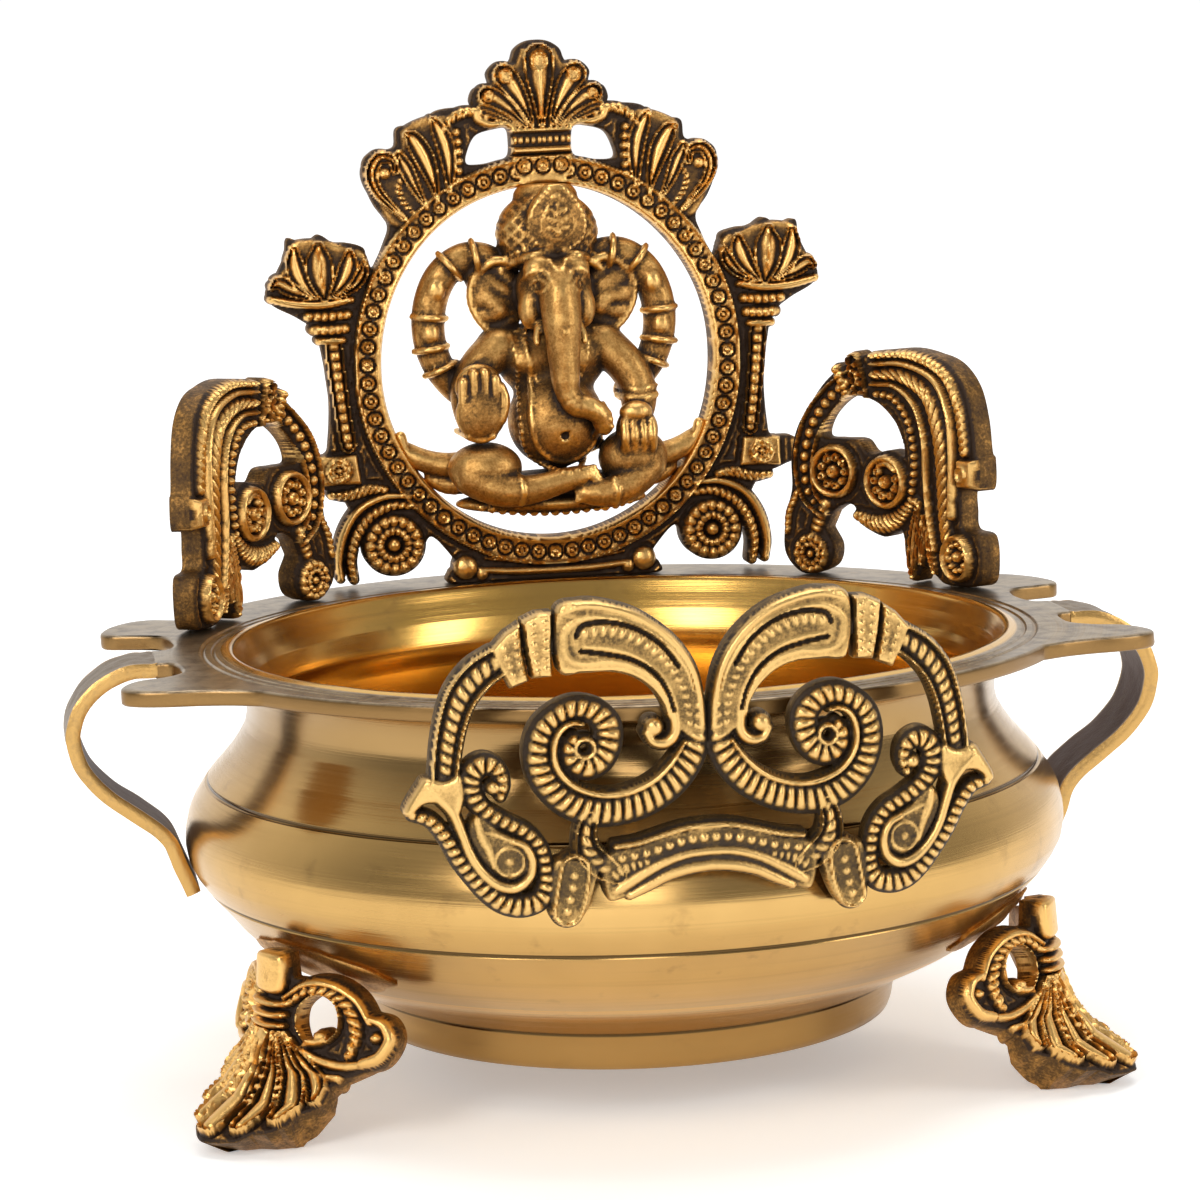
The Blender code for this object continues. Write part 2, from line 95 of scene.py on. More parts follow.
def ripple(x, y, z=0.0):
    """Smooth, repeatable unevenness between about -1 and 1, with waves of 4 to 12 times a unit."""
    return (np.sin(1.3 * x + 0.7 * y + 0.4 * z) + np.sin(0.9 * y - 1.1 * z + 0.5 * x + 2.1)
            + np.sin(0.6 * x - 1.5 * y + 0.8 * z + 4.3)) / 3


# ---------------------------------------------------------------- stroke cross-sections
# Each takes the distance from the stroke's middle (0 to 1 at its edge), the length along it, the side and the
# half width in mm, and returns a height between 0 and 1.

def dome(x):
    return np.sqrt(np.clip(1 - x * x, 0, 1))


def plain(t, along, side, half):
    return dome(t)


def flat(t, along, side, half):
    return np.clip((1 - t) * half / 0.7, 0, 1) ** 0.5


def ribs(pitch, lean=0.0, depth=0.6, power=0.6):
    """Pillowed bars across the stroke, which lean when asked to."""
    def shape(t, along, side, half):
        wave = np.abs(np.cos(pi * (along + lean * side * t * half) / pitch)) ** power
        return dome(t) * (1 - depth + depth * wave)
    return shape


def rope(pitch, lean=1.2):
    return ribs(pitch, lean, 0.55, 0.7)


def beads(pitch, size=0.95):
    """A row of round beads."""
    def shape(t, along, side, half):
        from_middle = (along / pitch) % 1 - 0.5
        return dome(np.hypot(from_middle * pitch, t * half) / np.minimum(half, pitch * 0.5) / size)
    return shape


def railed(inner, rail=0.8, gap=0.5):
    """Two smooth rails along the edges with another pattern between them."""
    def shape(t, along, side, half):
        from_edge = (1 - t) * half
        middle = np.maximum(half - rail - gap, 0.3)
        return np.maximum(dome((from_edge - rail / 2) / (rail / 2)) * 0.95,
                          0.85 * inner(np.minimum(t * half / middle, 1), along, side, middle))
    return shape


# ---------------------------------------------------------------- height maps

class Relief:
    """A casting seen square on: where there is metal, and how high it stands above its ground."""

    def __init__(self, low, high, step):
        self.low, self.step = np.array(low, float), step
        u = np.arange(low[0], high[0] + step / 2, step)
        v = np.arange(low[1], high[1] + step / 2, step)
        self.u, self.v = np.meshgrid(u, v, indexing="ij")
        self.out = np.full(self.u.shape, FAR)      # distance outside the metal; negative within
        self.height = np.zeros(self.u.shape)

    def window(self, a, b, margin):
        low = (np.minimum(a[:2], b[:2]) - margin - self.low) / self.step
        high = (np.maximum(a[:2], b[:2]) + margin - self.low) / self.step + 2
        return tuple(slice(max(int(i), 0), max(int(j), 0)) for i, j in zip(low, high))

    def measure(self, path, reach=1.5):
        """Near a path of (u, v, half width): distance, length along, side and half width."""
        found = [np.full(self.u.shape, FAR)] + [np.zeros(self.u.shape) for _ in range(3)]
        run = 0.0
        for a, b in zip(path, path[1:]):
            ex, ey = b[:2] - a[:2]
            length = hypot(ex, ey)
            if length < 1e-6:
                continue
            w = self.window(a, b, max(a[2], b[2]) + reach)
            x, y = self.u[w] - a[0], self.v[w] - a[1]
            t = np.clip((x * ex + y * ey) / length ** 2, 0, 1)
            gap = np.hypot(x - t * ex, y - t * ey)
            near = gap < found[0][w]
            values = gap, run + t * length, np.sign(ex * y - ey * x), a[2] + t * (b[2] - a[2])
            for target, value in zip(found, values):
                target[w] = np.where(near, value, target[w])
            run += length
        return found

    def stroke(self, points, style=plain, lift=1.0, border=0.45, closed=False, base=0.0):
        """Raise a stroke; with a border, it is metal as far as that beyond its edge."""
        dist, along, side, half = self.measure(spline(points, closed))
        t = np.clip(dist / np.maximum(half, 0.05), 0, 1)
        raised = base + lift * style(t, along, side, half)
        self.height = np.where(dist < half, np.maximum(self.height, raised), self.height)
        if border is not None:
            self.out = np.minimum(self.out, np.where(dist < FAR, dist - half - border, FAR))

    def groove(self, points, depth=0.6, closed=False):
        dist, _, _, half = self.measure(spline(points, closed))
        cut = depth * dome(np.clip(dist / np.maximum(half, 0.05), 0, 1))
        self.height = np.where(dist < half, self.height - cut, self.height)

    def inside(self, outline, closed_curve=True):
        """Signed distance to a closed outline, negative inside and clipped far from it."""
        loop = spline(outline, closed=True) if closed_curve else np.array(outline, float)
        path = np.column_stack([loop, np.full(len(loop), 2.0)])
        dist = self.measure(np.vstack([path, path[:1]]))[0]
        within = np.zeros(self.u.shape, bool)
        for (x0, y0), (x1, y1) in zip(loop, np.roll(loop, -1, 0)):
            if y0 != y1:
                crosses = (self.v < y0) != (self.v < y1)
                within ^= crosses & (self.u < x0 + (self.v - y0) * (x1 - x0) / (y1 - y0))
        return np.where(within, -np.minimum(dist, 9.0), np.minimum(dist, FAR))

    def patch(self, outline, lift=1.0, edge=1.0, metal=True, closed_curve=True):
        """Raise a whole area, with its edge rounded over a distance."""
        out = self.inside(outline, closed_curve)
        self.height = np.where(out < 0, np.maximum(self.height, lift * dome(np.clip(1 + out / edge, 0, 1))),
                               self.height)
        if metal:
            self.out = np.minimum(self.out, out)

    def hole(self, outline):
        self.out = np.maximum(self.out, -self.inside(outline))

    def ball(self, u, v, radius, lift=None, border=0.3, base=0.0):
        dist = np.hypot(self.u - u, self.v - v)
        raised = base + (lift or radius) * dome(dist / radius)
        self.height = np.where(dist < radius, np.maximum(self.height, raised), self.height)
        if border is not None:
            self.out = np.minimum(self.out, dist - radius - border)

    def ring(self, u, v, radius, half, lift=0.8, style=plain, border=None, base=0.0):
        turn = np.linspace(0, 2 * pi, 14, endpoint=False)
        self.stroke([(u + radius * cos(a), v + radius * sin(a), half) for a in turn], style, lift, border,
                    closed=True, base=base)

    def dotted_ring(self, u, v, size=2.1, base=0.0):
        """A small ring with a dot in it, outlined by a groove."""
        dist = np.hypot(self.u - u, self.v - v) / size
        shape = np.interp(dist, [0, 0.2, 0.36, 0.5, 0.72, 0.86, 1.0, 1.1], [0.5, 0.4, -0.45, 0.5, 0.5, -0.7, -0.6, 0])
        self.height = np.where(dist < 1.1, base + shape, self.height)

    def rosette(self, u, v, radius, petals=12, lift=1.4, border=0.3, base=0.0):
        """A disc of radiating petals round a ball, in two rows."""
        x, y = self.u - u, self.v - v
        dist, turn = np.hypot(x, y), np.arctan2(y, x)
        wave = np.abs(np.cos(turn * petals / 2)) ** 0.6
        outer = dome((dist / radius - 0.78) / 0.22) * (0.45 + 0.55 * wave)
        wave = np.abs(np.cos(turn * petals / 2 + 0.8)) ** 0.6
        inner = dome((dist / radius - 0.46) / 0.16) * (0.5 + 0.5 * wave)
        shape = np.maximum(np.maximum(outer, inner), dome(dist / radius / 0.24))
        self.height = np.where(dist < radius, np.maximum(self.height, base + lift * shape), self.height)
        if border is not None:
            self.out = np.minimum(self.out, dist - radius - border)

    def echo(self, pitch=1.9, lift=0.75, clear=0.75):
        """Fill bare ground with fine ridges that follow the strokes round it."""
        gap = np.where(self.height > 0.35, 0.0, FAR)
        for _ in range(int(9 / self.step)):
            for axis, other, cost in ((0, None, 1), (1, None, 1), (0, 1, 1.414), (0, -1, 1.414)):
                for way in (1, -1):
                    moved = np.roll(gap, way, axis)
                    if other:
                        moved = np.roll(moved, way * other, 1)
                    gap = np.minimum(gap, moved + cost * self.step)
        wave = np.cos(2 * pi * (gap - clear - pitch / 2) / pitch) * 0.5 + 0.5
        depth = np.clip((-self.out - 0.3) / 0.5, 0, 1) * (gap > clear)
        self.height = np.maximum(self.height, lift * depth * wave * (0.8 + 0.2 * ripple(self.u * 2.1, self.v * 2.3)))

    def mirror(self):
        """Turn a right half, drawn from u = 0, into the whole."""
        self.u = np.concatenate([-self.u[:0:-1], self.u])
        for name in ("v", "out", "height"):
            a = getattr(self, name)
            setattr(self, name, np.concatenate([a[:0:-1], a]))
        self.low[0] = self.u[0, 0]

    def cells(self):
        """Which grid cells are metal, without cells that meet only at a corner."""
        middle = (self.out[1:, 1:] + self.out[:-1, 1:] + self.out[1:, :-1] + self.out[:-1, :-1]) / 4
        keep = middle < 0
        keep[[0, -1]] = False
        keep[:, [0, -1]] = False
        for _ in range(3):
            a, b, c, d = keep[:-1, :-1], keep[1:, :-1], keep[:-1, 1:], keep[1:, 1:]
            keep[:-1, :-1] |= ~a & b & c & ~d
            keep[1:, :-1] |= a & ~b & ~c & d
        return keep

    def wear(self):
        """How proud each point stands, from 0 in a recess to 1 on a ridge."""
        height = np.where(self.out < 0, self.height, 0)
        local = height - blur(height, 1.1 / self.step)
        wide = height - blur(height, 3.0 / self.step)
        return np.clip(0.17 + 0.17 * height.clip(0, 2.3) + 0.70 * local + 0.20 * wide, 0, 1)

    def solid(self, name, thickness, surface, material, edge=0.6, behind=0.30):
        """The closed mesh object: relief in front, flat behind, walls between."""
        keep = self.cells()
        used = np.zeros(self.u.shape, bool)
        around = np.zeros(self.u.shape, int)
        for di in (0, 1):
            for dj in (0, 1):
                used[di:di + keep.shape[0], dj:dj + keep.shape[1]] |= keep
                around[di:di + keep.shape[0], dj:dj + keep.shape[1]] += keep
        rim = used & (around < 4)
        slope_u, slope_v = np.gradient(self.out, self.step)
        steep = np.maximum(np.hypot(slope_u, slope_v), 0.3)
        shift = np.clip(self.out, -0.8 * self.step, 0.8 * self.step) * rim / steep
        u, v = self.u - shift * slope_u / steep, self.v - shift * slope_v / steep
        inward = np.clip(-self.out / edge, 0, 1) * ~rim
        front = thickness / 2 + self.height * inward ** 0.5 - 0.5 * (1 - inward) ** 2

        index = np.full(self.u.shape, -1)
        index[used] = np.arange(used.sum())
        count = int(used.sum())
        pu, pv, pf = u[used], v[used], front[used]
        co = np.vstack([surface(pu, pv, pf), surface(pu, pv, np.full(count, -thickness / 2))])
        i, j = np.nonzero(keep)
        quads = np.column_stack([index[i, j], index[i + 1, j], index[i + 1, j + 1], index[i, j + 1]])
        walls = []
        for di, dj, start, end in ((-1, 0, (0, 0), (0, 1)), (1, 0, (1, 1), (1, 0)),
                                   (0, -1, (1, 0), (0, 0)), (0, 1, (0, 1), (1, 1))):
            open_side = ~keep[i + di, j + dj]
            a = index[i[open_side] + start[0], j[open_side] + start[1]]
            b = index[i[open_side] + end[0], j[open_side] + end[1]]
            walls.append(np.column_stack([a, b, b + count, a + count]))
        faces = np.vstack([quads, quads[:, ::-1] + count] + walls)
        wear = self.wear()[used]
        wear = np.where(rim[used], 0.3 + 0.5 * wear, wear)
        return make_mesh(name, co, faces, material, np.concatenate([wear, np.full(count, behind)]))


# ---------------------------------------------------------------- meshes

def make_mesh(name, co, faces, material, wear=None, sharp=50.0):
    """A mesh object from points in millimetres and faces, with its outside facing out."""
    mesh = bpy.data.meshes.new(name)
    mesh.from_pydata((np.asarray(co) * MM + ORIGIN).tolist(), [],
                     faces.tolist() if isinstance(faces, np.ndarray) else faces)
    if wear is not None:
        layer = mesh.attributes.new("wear", "FLOAT", "POINT")
        layer.data.foreach_set("value", np.asarray(wear, np.float32))
    mesh.materials.append(material)
    if signed_volume(mesh) < 0:
        mesh.flip_normals()
    mesh.shade_smooth()
    mesh.set_sharp_from_angle(angle=radians(sharp))
    obj = bpy.data.objects.new(name, mesh)
    bpy.context.scene.collection.objects.link(obj)
    return obj


def signed_volume(mesh):
    co = np.empty(len(mesh.vertices) * 3)
    mesh.vertices.foreach_get("co", co)
    mesh.calc_loop_triangles()
    tri = np.empty(len(mesh.loop_triangles) * 3, int)
    mesh.loop_triangles.foreach_get("vertices", tri)
    a, b, c = co.reshape(-1, 3)[tri].reshape(-1, 3, 3).transpose(1, 0, 2)
    return float(np.einsum("ij,ij->i", a, np.cross(b, c)).sum())


def finish_piece(obj, node):
    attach(obj, "root")
    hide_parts(node)


# ---------------------------------------------------------------- materials

class Nodes:
    """A short way to write a material's nodes."""

    def __init__(self, name):
        self.material = bpy.data.materials.new(name)
        self.material.use_nodes = True
        self.tree = self.material.node_tree
        self.shader = self.tree.nodes["Principled BSDF"]

    def add(self, kind, inputs=None, **settings):
        node = self.tree.nodes.new(kind)
        for key, value in settings.items():
            setattr(node, key, value)
        for key, value in (inputs or {}).items():
            self.set(node, key, value)
        return node

    def set(self, node, key, value):
        if isinstance(value, bpy.types.NodeSocket):
            self.tree.links.new(value, node.inputs[key])
        else:
            node.inputs[key].default_value = value

    def math(self, operation, a, b=0.0, clamp=False):
        return self.add("ShaderNodeMath", {0: a, 1: b}, operation=operation, use_clamp=clamp).outputs[0]

    def times(self, a, b):
        return self.math("MULTIPLY", a, b)

    def vary(self, noise, amount):
        """Noise made to swing evenly round zero."""
        return self.times(self.math("SUBTRACT", noise, 0.5), amount)

    def wear(self):
        return self.add("ShaderNodeAttribute", attribute_name="wear", attribute_type="GEOMETRY").outputs["Fac"]

    def bump(self, height, strength, distance=0.0004):
        node = self.add("ShaderNodeBump", {"Height": height, "Strength": strength, "Distance": distance})
        return node.outputs["Normal"]

    def noise(self, vector, scale, detail=3.0, rough=0.5):
        node = self.add("ShaderNodeTexNoise", {"Vector": vector, "Scale": scale, "Detail": detail,
                                               "Roughness": rough})
        return node.outputs["Fac"]

    def mix(self, factor, a, b):
        node = self.add("ShaderNodeMix", data_type="RGBA")
        self.set(node, 0, factor)
        self.set(node, 6, a)
        self.set(node, 7, b)
        return node.outputs[2]

    def ramp(self, factor, stops):
        node = self.add("ShaderNodeValToRGB", {"Fac": factor})
        stops_in = node.color_ramp.elements
        while len(stops_in) < len(stops):
            stops_in.new(1.0)
        for element, (place, colour) in zip(stops_in, stops):
            element.position = place
            element.color = (*colour, 1) if len(colour) == 3 else colour
        return node.outputs["Color"]

    def range(self, value, low, high, to_low=0.0, to_high=1.0):
        node = self.add("ShaderNodeMapRange", {"Value": value, "From Min": low, "From Max": high,
                                               "To Min": to_low, "To Max": to_high})
        return node.outputs["Result"]

    def place(self):
        return self.add("ShaderNodeTexCoord").outputs["Object"]

    def out(self, **inputs):
        for key, value in inputs.items():
            self.set(self.shader, key.replace("_", " "), value)
        return self.material


EXTRA_SHINE = 0.03        # added to the wear everywhere on cast brass


def cast_brass(name, bright, middle, dark, gloss=0.30):
    """Cast brass with dark patina in its recesses and rubbed metal on its ridges."""
    n = Nodes(name)
    place = n.place()
    coarse = n.noise(place, 260.0, 4.0, 0.6)
    fine = n.noise(place, 1500.0, 3.0, 0.6)
    spread = n.math("ADD", n.vary(coarse, 0.55), n.vary(fine, 0.45))
    level = n.math("ADD", n.math("ADD", n.wear(), spread), EXTRA_SHINE, clamp=True)
    between = tuple(0.31 * (a + b) for a, b in zip(dark, middle))
    colour = n.ramp(level, [(0.16, dark), (0.36, between), (0.52, middle), (0.80, bright)])
    return n.out(Base_Color=colour, Metallic=n.range(level, 0.15, 0.5, 0.55, 1.0),
                 Roughness=n.range(level, 0.2, 0.8, 0.62, gloss),
                 Normal=n.bump(n.math("ADD", n.times(fine, 0.5), coarse), 0.5))


def screw_steel():
    """Dull zinc-plated steel with fine scratches, for the four screws under the flange."""
    n = Nodes("screw_steel_looks")
    place = n.place()
    cloud = n.noise(place, 900.0, 3.0)
    fine = n.noise(place, 5000.0, 2.0)
    return n.out(Base_Color=n.mix(cloud, (0.42, 0.41, 0.39, 1), (0.62, 0.61, 0.58, 1)), Metallic=1.0,
                 Roughness=n.range(fine, 0.3, 0.7, 0.32, 0.5))


# ---------------------------------------------------------------- the bowl

BOWL_INSIDE = [(0, -76.5), (16, -76.5), (32, -76.3), (46, -75.4), (56, -74.2), (64, -72.2), (71, -69.6), (80, -65),
               (88.5, -58.5), (95, -51.5), (98.0, -42), (95.8, -34.5), (89, -25.5), (84.0, -18), (83.2, -12.5),
               (84.8, -7), (87.2, -3), (88.3, -0.6), (89.0, 0.45), (89.8, 0.7), (90.6, 0.62), (91.4, 0.2),
               (92.2, 0)]
BOWL_OUTSIDE = [(92.2, -3.5), (90.2, -3.9), (88.2, -6), (86.6, -9.5), (86.2, -13), (86.8, -17), (90.5, -23),
                (96, -29.2), (100, -35.5), (101.5, -42), (100.8, -47.5), (97.6, -52.8), (94, -57), (90.3, -61.5),
                (86, -65.5), (80, -69.8), (70.6, -74.6), (66, -77.2), (63.4, -78.4), (62.3, -79.6), (61.8, -82),
                (61.3, -85), (60.6, -87.0), (59.9, -87.3), (57.6, -87.3), (57.0, -86.8), (57.0, -83.5),
                (56.2, -81.2), (53.5, -80), (46, -79.8), (20, -79.8), (0, -79.8)]
# Turned grooves: (z or radius, half width, depth)
WALL_GROOVES = [(-29.4, 0.55, 0.45), (-52.9, 0.6, 0.55), (-78.9, 0.5, 0.35)]
TOP_GROOVES = [(93.3, 0.45, 0.4), (95.7, 0.5, 0.45)]
FRONT_PRONG = [(87, -51.5), (93.3, -48.5), (99.7, -46.8), (106.2, -46), (112.4, -44), (115.7, -40.5),
               (115, -34.5), (111.5, -29), (106, -26.3), (102, -21.5), (101.8, -14), (102.8, -7.6)]
BACK_PRONG = [(102.8, 13.8), (101.5, 19), (101.6, 27), (103.8, 34.5), (110.5, 37.6), (116, 39.5),
              (117.3, 44.5), (114.8, 53), (109.5, 60.2), (103.7, 61.6), (98, 58)]
TONGUE = [(104, -6.6), (107, -6.6), (107, 12.6), (104, 12.6)]
FLANGE_CENTRE_Y = 5.0
FLANGE_THICKNESS = 3.5
LIP_RADIUS, GROOVED_RADIUS = 92.5, 97.3      # the flange's turned rings lie between them
BOWL_COLUMNS = 496


def resample(loop, count):
    """Evenly spaced points round a closed loop."""
    ring = np.vstack([loop, loop[:1]])
    run = running(ring)
    at = np.linspace(0, run[-1], count, endpoint=False)
    return np.column_stack([np.interp(at, run, ring[:, k]) for k in (0, 1)])


def flange_loop(count):
    """The flange's outline: a pronged lug on each side, joined by arcs in front and behind."""
    right = np.vstack([spline(FRONT_PRONG, steps=10), TONGUE, spline(BACK_PRONG, steps=10)])
    left = right[::-1] * (-1, 1)

    def arc(a, b, steps=160):
        start, end = np.arctan2(a[1] - FLANGE_CENTRE_Y, a[0]), np.arctan2(b[1] - FLANGE_CENTRE_Y, b[0])
        turn = (end - start) % (2 * pi)
        s = np.linspace(0, 1, steps)[1:-1]
        radius = hypot(a[0], a[1] - FLANGE_CENTRE_Y) * (1 - s) + hypot(b[0], b[1] - FLANGE_CENTRE_Y) * s
        angle = start + turn * s
        return np.column_stack([radius * np.cos(angle), FLANGE_CENTRE_Y + radius * np.sin(angle)])

    return resample(np.vstack([right, arc(right[-1], left[0]), left, arc(left[-1], right[0])]), count)


def profile(points, grooves, step=1.3):
    """A turned profile at even steps, with narrow grooves cut square to it."""
    line = spline(points, steps=24)
    run = running(line)
    at = [np.arange(0, run[-1], step), run[::24], run[-1:]]
    cuts = []
    for level, half, depth in grooves:
        middle = run[np.argmin(np.abs(line[:, 1] - level) + (line[:, 0] < 55) * FAR)]
        cuts.append((middle, half, depth))
        at.append(middle + half * np.linspace(-1.6, 1.6, 9))
    at = np.unique(np.concatenate(at))
    at = at[np.concatenate([[True], np.diff(at) > 0.04])]
    r, z = (np.interp(at, run, line[:, k]) for k in (0, 1))
    dr, dz = np.gradient(r, at), np.gradient(z, at)
    size = np.maximum(np.hypot(dr, dz), 1e-6)
    for middle, half, depth in cuts:
        cut = depth * dome(np.clip(np.abs(at - middle) / half, 0, 1))
        r, z = r + cut * dz / size, z - cut * dr / size
    r[r < 0.02] = 0.0
    return np.column_stack([r, z])


def make_bowl(material):
    count = BOWL_COLUMNS
    loop = flange_loop(count)
    turn = np.unwrap(np.arctan2(loop[:, 1], loop[:, 0]))
    turn = np.linspace(turn[0], turn[0] + 2 * pi, count, endpoint=False) * 0.04 + turn * 0.96
    for _ in range(400):      # evens the columns out where the loop doubles back
        ahead = np.roll(turn, -1) + 2 * pi * (np.arange(count) == count - 1)
        behind = np.roll(turn, 1) - 2 * pi * (np.arange(count) == 0)
        turn = 0.5 * turn + 0.25 * (ahead + behind)
    direction = np.column_stack([np.cos(turn), np.sin(turn)])

    rows, heights = [], []

    def add(xy, z):
        rows.append(xy)
        heights.append(z)

    for r, z in profile(BOWL_INSIDE, [], 4.0)[1:]:
        add(direction * r, z)
    for r in np.arange(LIP_RADIUS, GROOVED_RADIUS, 0.26):
        cut = sum(depth * dome(min(abs(r - middle) / half, 1)) for middle, half, depth in TOP_GROOVES)
        add(direction * r, -float(cut))
    centre = direction * GROOVED_RADIUS
    inset = loop - 0.45 * outward(loop)
    for share in (0.2, 0.45, 0.7, 0.9):
        add(centre + (inset - centre) * share, 0.0)
    rough = 0.12 * ripple(np.arange(count) * 0.9, np.arange(count) * 0.37)[:, None] * outward(loop)
    add(inset, 0.0)
    add(loop - 0.1 * outward(loop) + rough, -0.25)
    add(loop + rough, -0.8)
    add(loop - rough, -FLANGE_THICKNESS + 0.8)
    add(loop - 0.1 * outward(loop), -FLANGE_THICKNESS + 0.25)
    add(inset, -FLANGE_THICKNESS)
    for share in (0.8, 0.5, 0.2, 0.0):
        add(centre + (inset - centre) * share, -FLANGE_THICKNESS)
    for r, z in profile(BOWL_OUTSIDE, WALL_GROOVES, 3.4)[:-1]:
        add(direction * r, z)

    co = np.vstack([np.column_stack([xy, np.full(count, z)]) for xy, z in zip(rows, heights)]
                   + [[[0, 0, BOWL_INSIDE[0][1]], [0, 0, BOWL_OUTSIDE[-1][1]]]])
    i = np.arange(count)
    j = (i + 1) % count
    faces = [[[k * count + a, k * count + b, (k + 1) * count + b, (k + 1) * count + a] for a, b in zip(i, j)]
             for k in range(len(rows) - 1)]
    faces = [f for strip in faces for f in strip]
    last = (len(rows) - 1) * count
    caps = [[len(co) - 2, b, a] for a, b in zip(i, j)] + [[len(co) - 1, last + a, last + b] for a, b in zip(i, j)]
    return make_mesh("urli_bowl", co, [list(map(int, f)) for f in faces + caps], material)


def outward(loop):
    """The outward direction at each point of a closed loop."""
    along = np.roll(loop, -1, 0) - np.roll(loop, 1, 0)
    along /= np.maximum(np.hypot(*along.T), 1e-9)[:, None]
    return np.column_stack([along[:, 1], -along[:, 0]])


def turned_brass():
    """Polished brass with turning lines round the axis, deeper inside and duller on the flange."""
    n = Nodes("polished_brass_looks")
    place = n.place()
    x, y, z = n.add("ShaderNodeSeparateXYZ", {"Vector": place}).outputs
    y = n.math("SUBTRACT", y, float(ORIGIN[1]))
    radius = n.math("SQRT", n.math("ADD", n.times(x, x), n.times(y, y)))
    level = n.math("SUBTRACT", z, float(ORIGIN[2]))
    turn = n.times(n.math("ARCTAN2", y, x), 0.0012)
    ring = n.add("ShaderNodeCombineXYZ", {"X": radius, "Y": level, "Z": turn}).outputs[0]
    fine = n.noise(ring, 2400.0, 2.0, 0.6)
    broad = n.noise(ring, 520.0, 4.0, 0.65)
    cloudy = n.noise(place, 18.0, 4.0, 0.6)
    spots = n.noise(place, 90.0, 5.0, 0.65)
    rough_cast = n.mix(n.range(n.noise(place, 210.0, 5.0, 0.7), 0.42, 0.66),
                       (0.37, 0.285, 0.185, 1), (0.17, 0.12, 0.075, 1))
    within = n.math("LESS_THAN", radius, wall_between(n, level))
    inside = n.times(n.range(radius, 0.0985, 0.0975), n.range(level, -0.0735, -0.0725))
    # painted shade: the outside of the neck under the flange is darkened, standing in for the flange's dark underside
    # mirrored in it
    painted_neck_shade = n.times(n.range(level, -0.027, -0.014), n.math("SUBTRACT", 1.0, within))
    flange = n.times(n.range(radius, 0.0912, 0.0918), n.range(level, -0.0044, -0.0036))
    colour = n.mix(n.range(cloudy, 0.35, 0.7), (0.62, 0.385, 0.135, 1), (0.52, 0.315, 0.105, 1))
    # deeper gold inside, painted shade in the neck and on the foot ring, rough flange and its edge, streaks, stains
    for amount, over in ((n.times(inside, within), (0.74, 0.44, 0.115, 1)),
                         (n.times(painted_neck_shade, 0.62), (0.22, 0.135, 0.062, 1)),
                         # painted shade: the foot ring below the lowest groove is darkened as if shadowed from above
                         (n.times(n.range(level, -0.0785, -0.0795), 0.6), (0.28, 0.15, 0.045, 1)),
                         (flange, rough_cast),
                         (n.times(flange, n.range(level, -0.0002, -0.0006)), (0.26, 0.15, 0.055, 1)),
                         (n.times(n.range(broad, 0.55, 0.75), 0.30), (0.36, 0.21, 0.07, 1)),
                         (n.times(n.range(spots, 0.60, 0.72), 0.40), (0.30, 0.17, 0.06, 1))):
        colour = n.mix(amount, colour, over)
    for (z_groove, _, _), least_radius in zip(WALL_GROOVES, (0.0940, 0.0955, 0.0600)):
        off = n.math("ABSOLUTE", n.math("SUBTRACT", level, z_groove * MM))
        line = n.times(n.range(off, 0.0006, 0.0003), n.math("GREATER_THAN", radius, least_radius))
        colour = n.mix(n.times(line, 0.9), colour, (0.05, 0.028, 0.012, 1))
    rough = n.math("ADD", n.range(cloudy, 0.3, 0.7, 0.16, 0.27), n.times(flange, 0.14))
    return n.out(Base_Color=colour, Metallic=1.0, Roughness=n.math("ADD", rough, n.vary(fine, 0.16)),
                 Normal=n.bump(n.math("ADD", n.times(fine, 0.35), broad), 0.16, 0.0003))


def wall_between(n, level):
    """The radius of the middle of the bowl's wall at a level, as nodes."""
    points = [(0.0, 66), (0.068, 75), (0.16, 83.5), (0.27, 90), (0.35, 94.8), (0.47, 99.4), (0.56, 97.6),
              (0.66, 91.2), (0.75, 86.2), (0.85, 85.0), (0.95, 87.6), (1.0, 96)]
    share = n.ramp(n.range(level, -0.08, 0.0), [(at, (r / 120,) * 3) for at, r in points])
    return n.times(share, 120 * MM)


# ---------------------------------------------------------------- the handles

STRAP_ROUTE = [(106.4, -1.75), (109, -1.7), (112.5, -1.9), (118, -4), (122.8, -8), (125.4, -13), (125.8, -18),
               (123.5, -24.5), (118.2, -30.5), (111.5, -35.5), (106, -40.5), (103.4, -46.5), (100.6, -53.5)]
STRAP_WIDTH, STRAP_CENTRE_Y, STRAP_THICKNESS = 19.0, 3.0, 3.3
STRAP_ROUNDING = 0.55     # how much thinner the strap is at its very edge


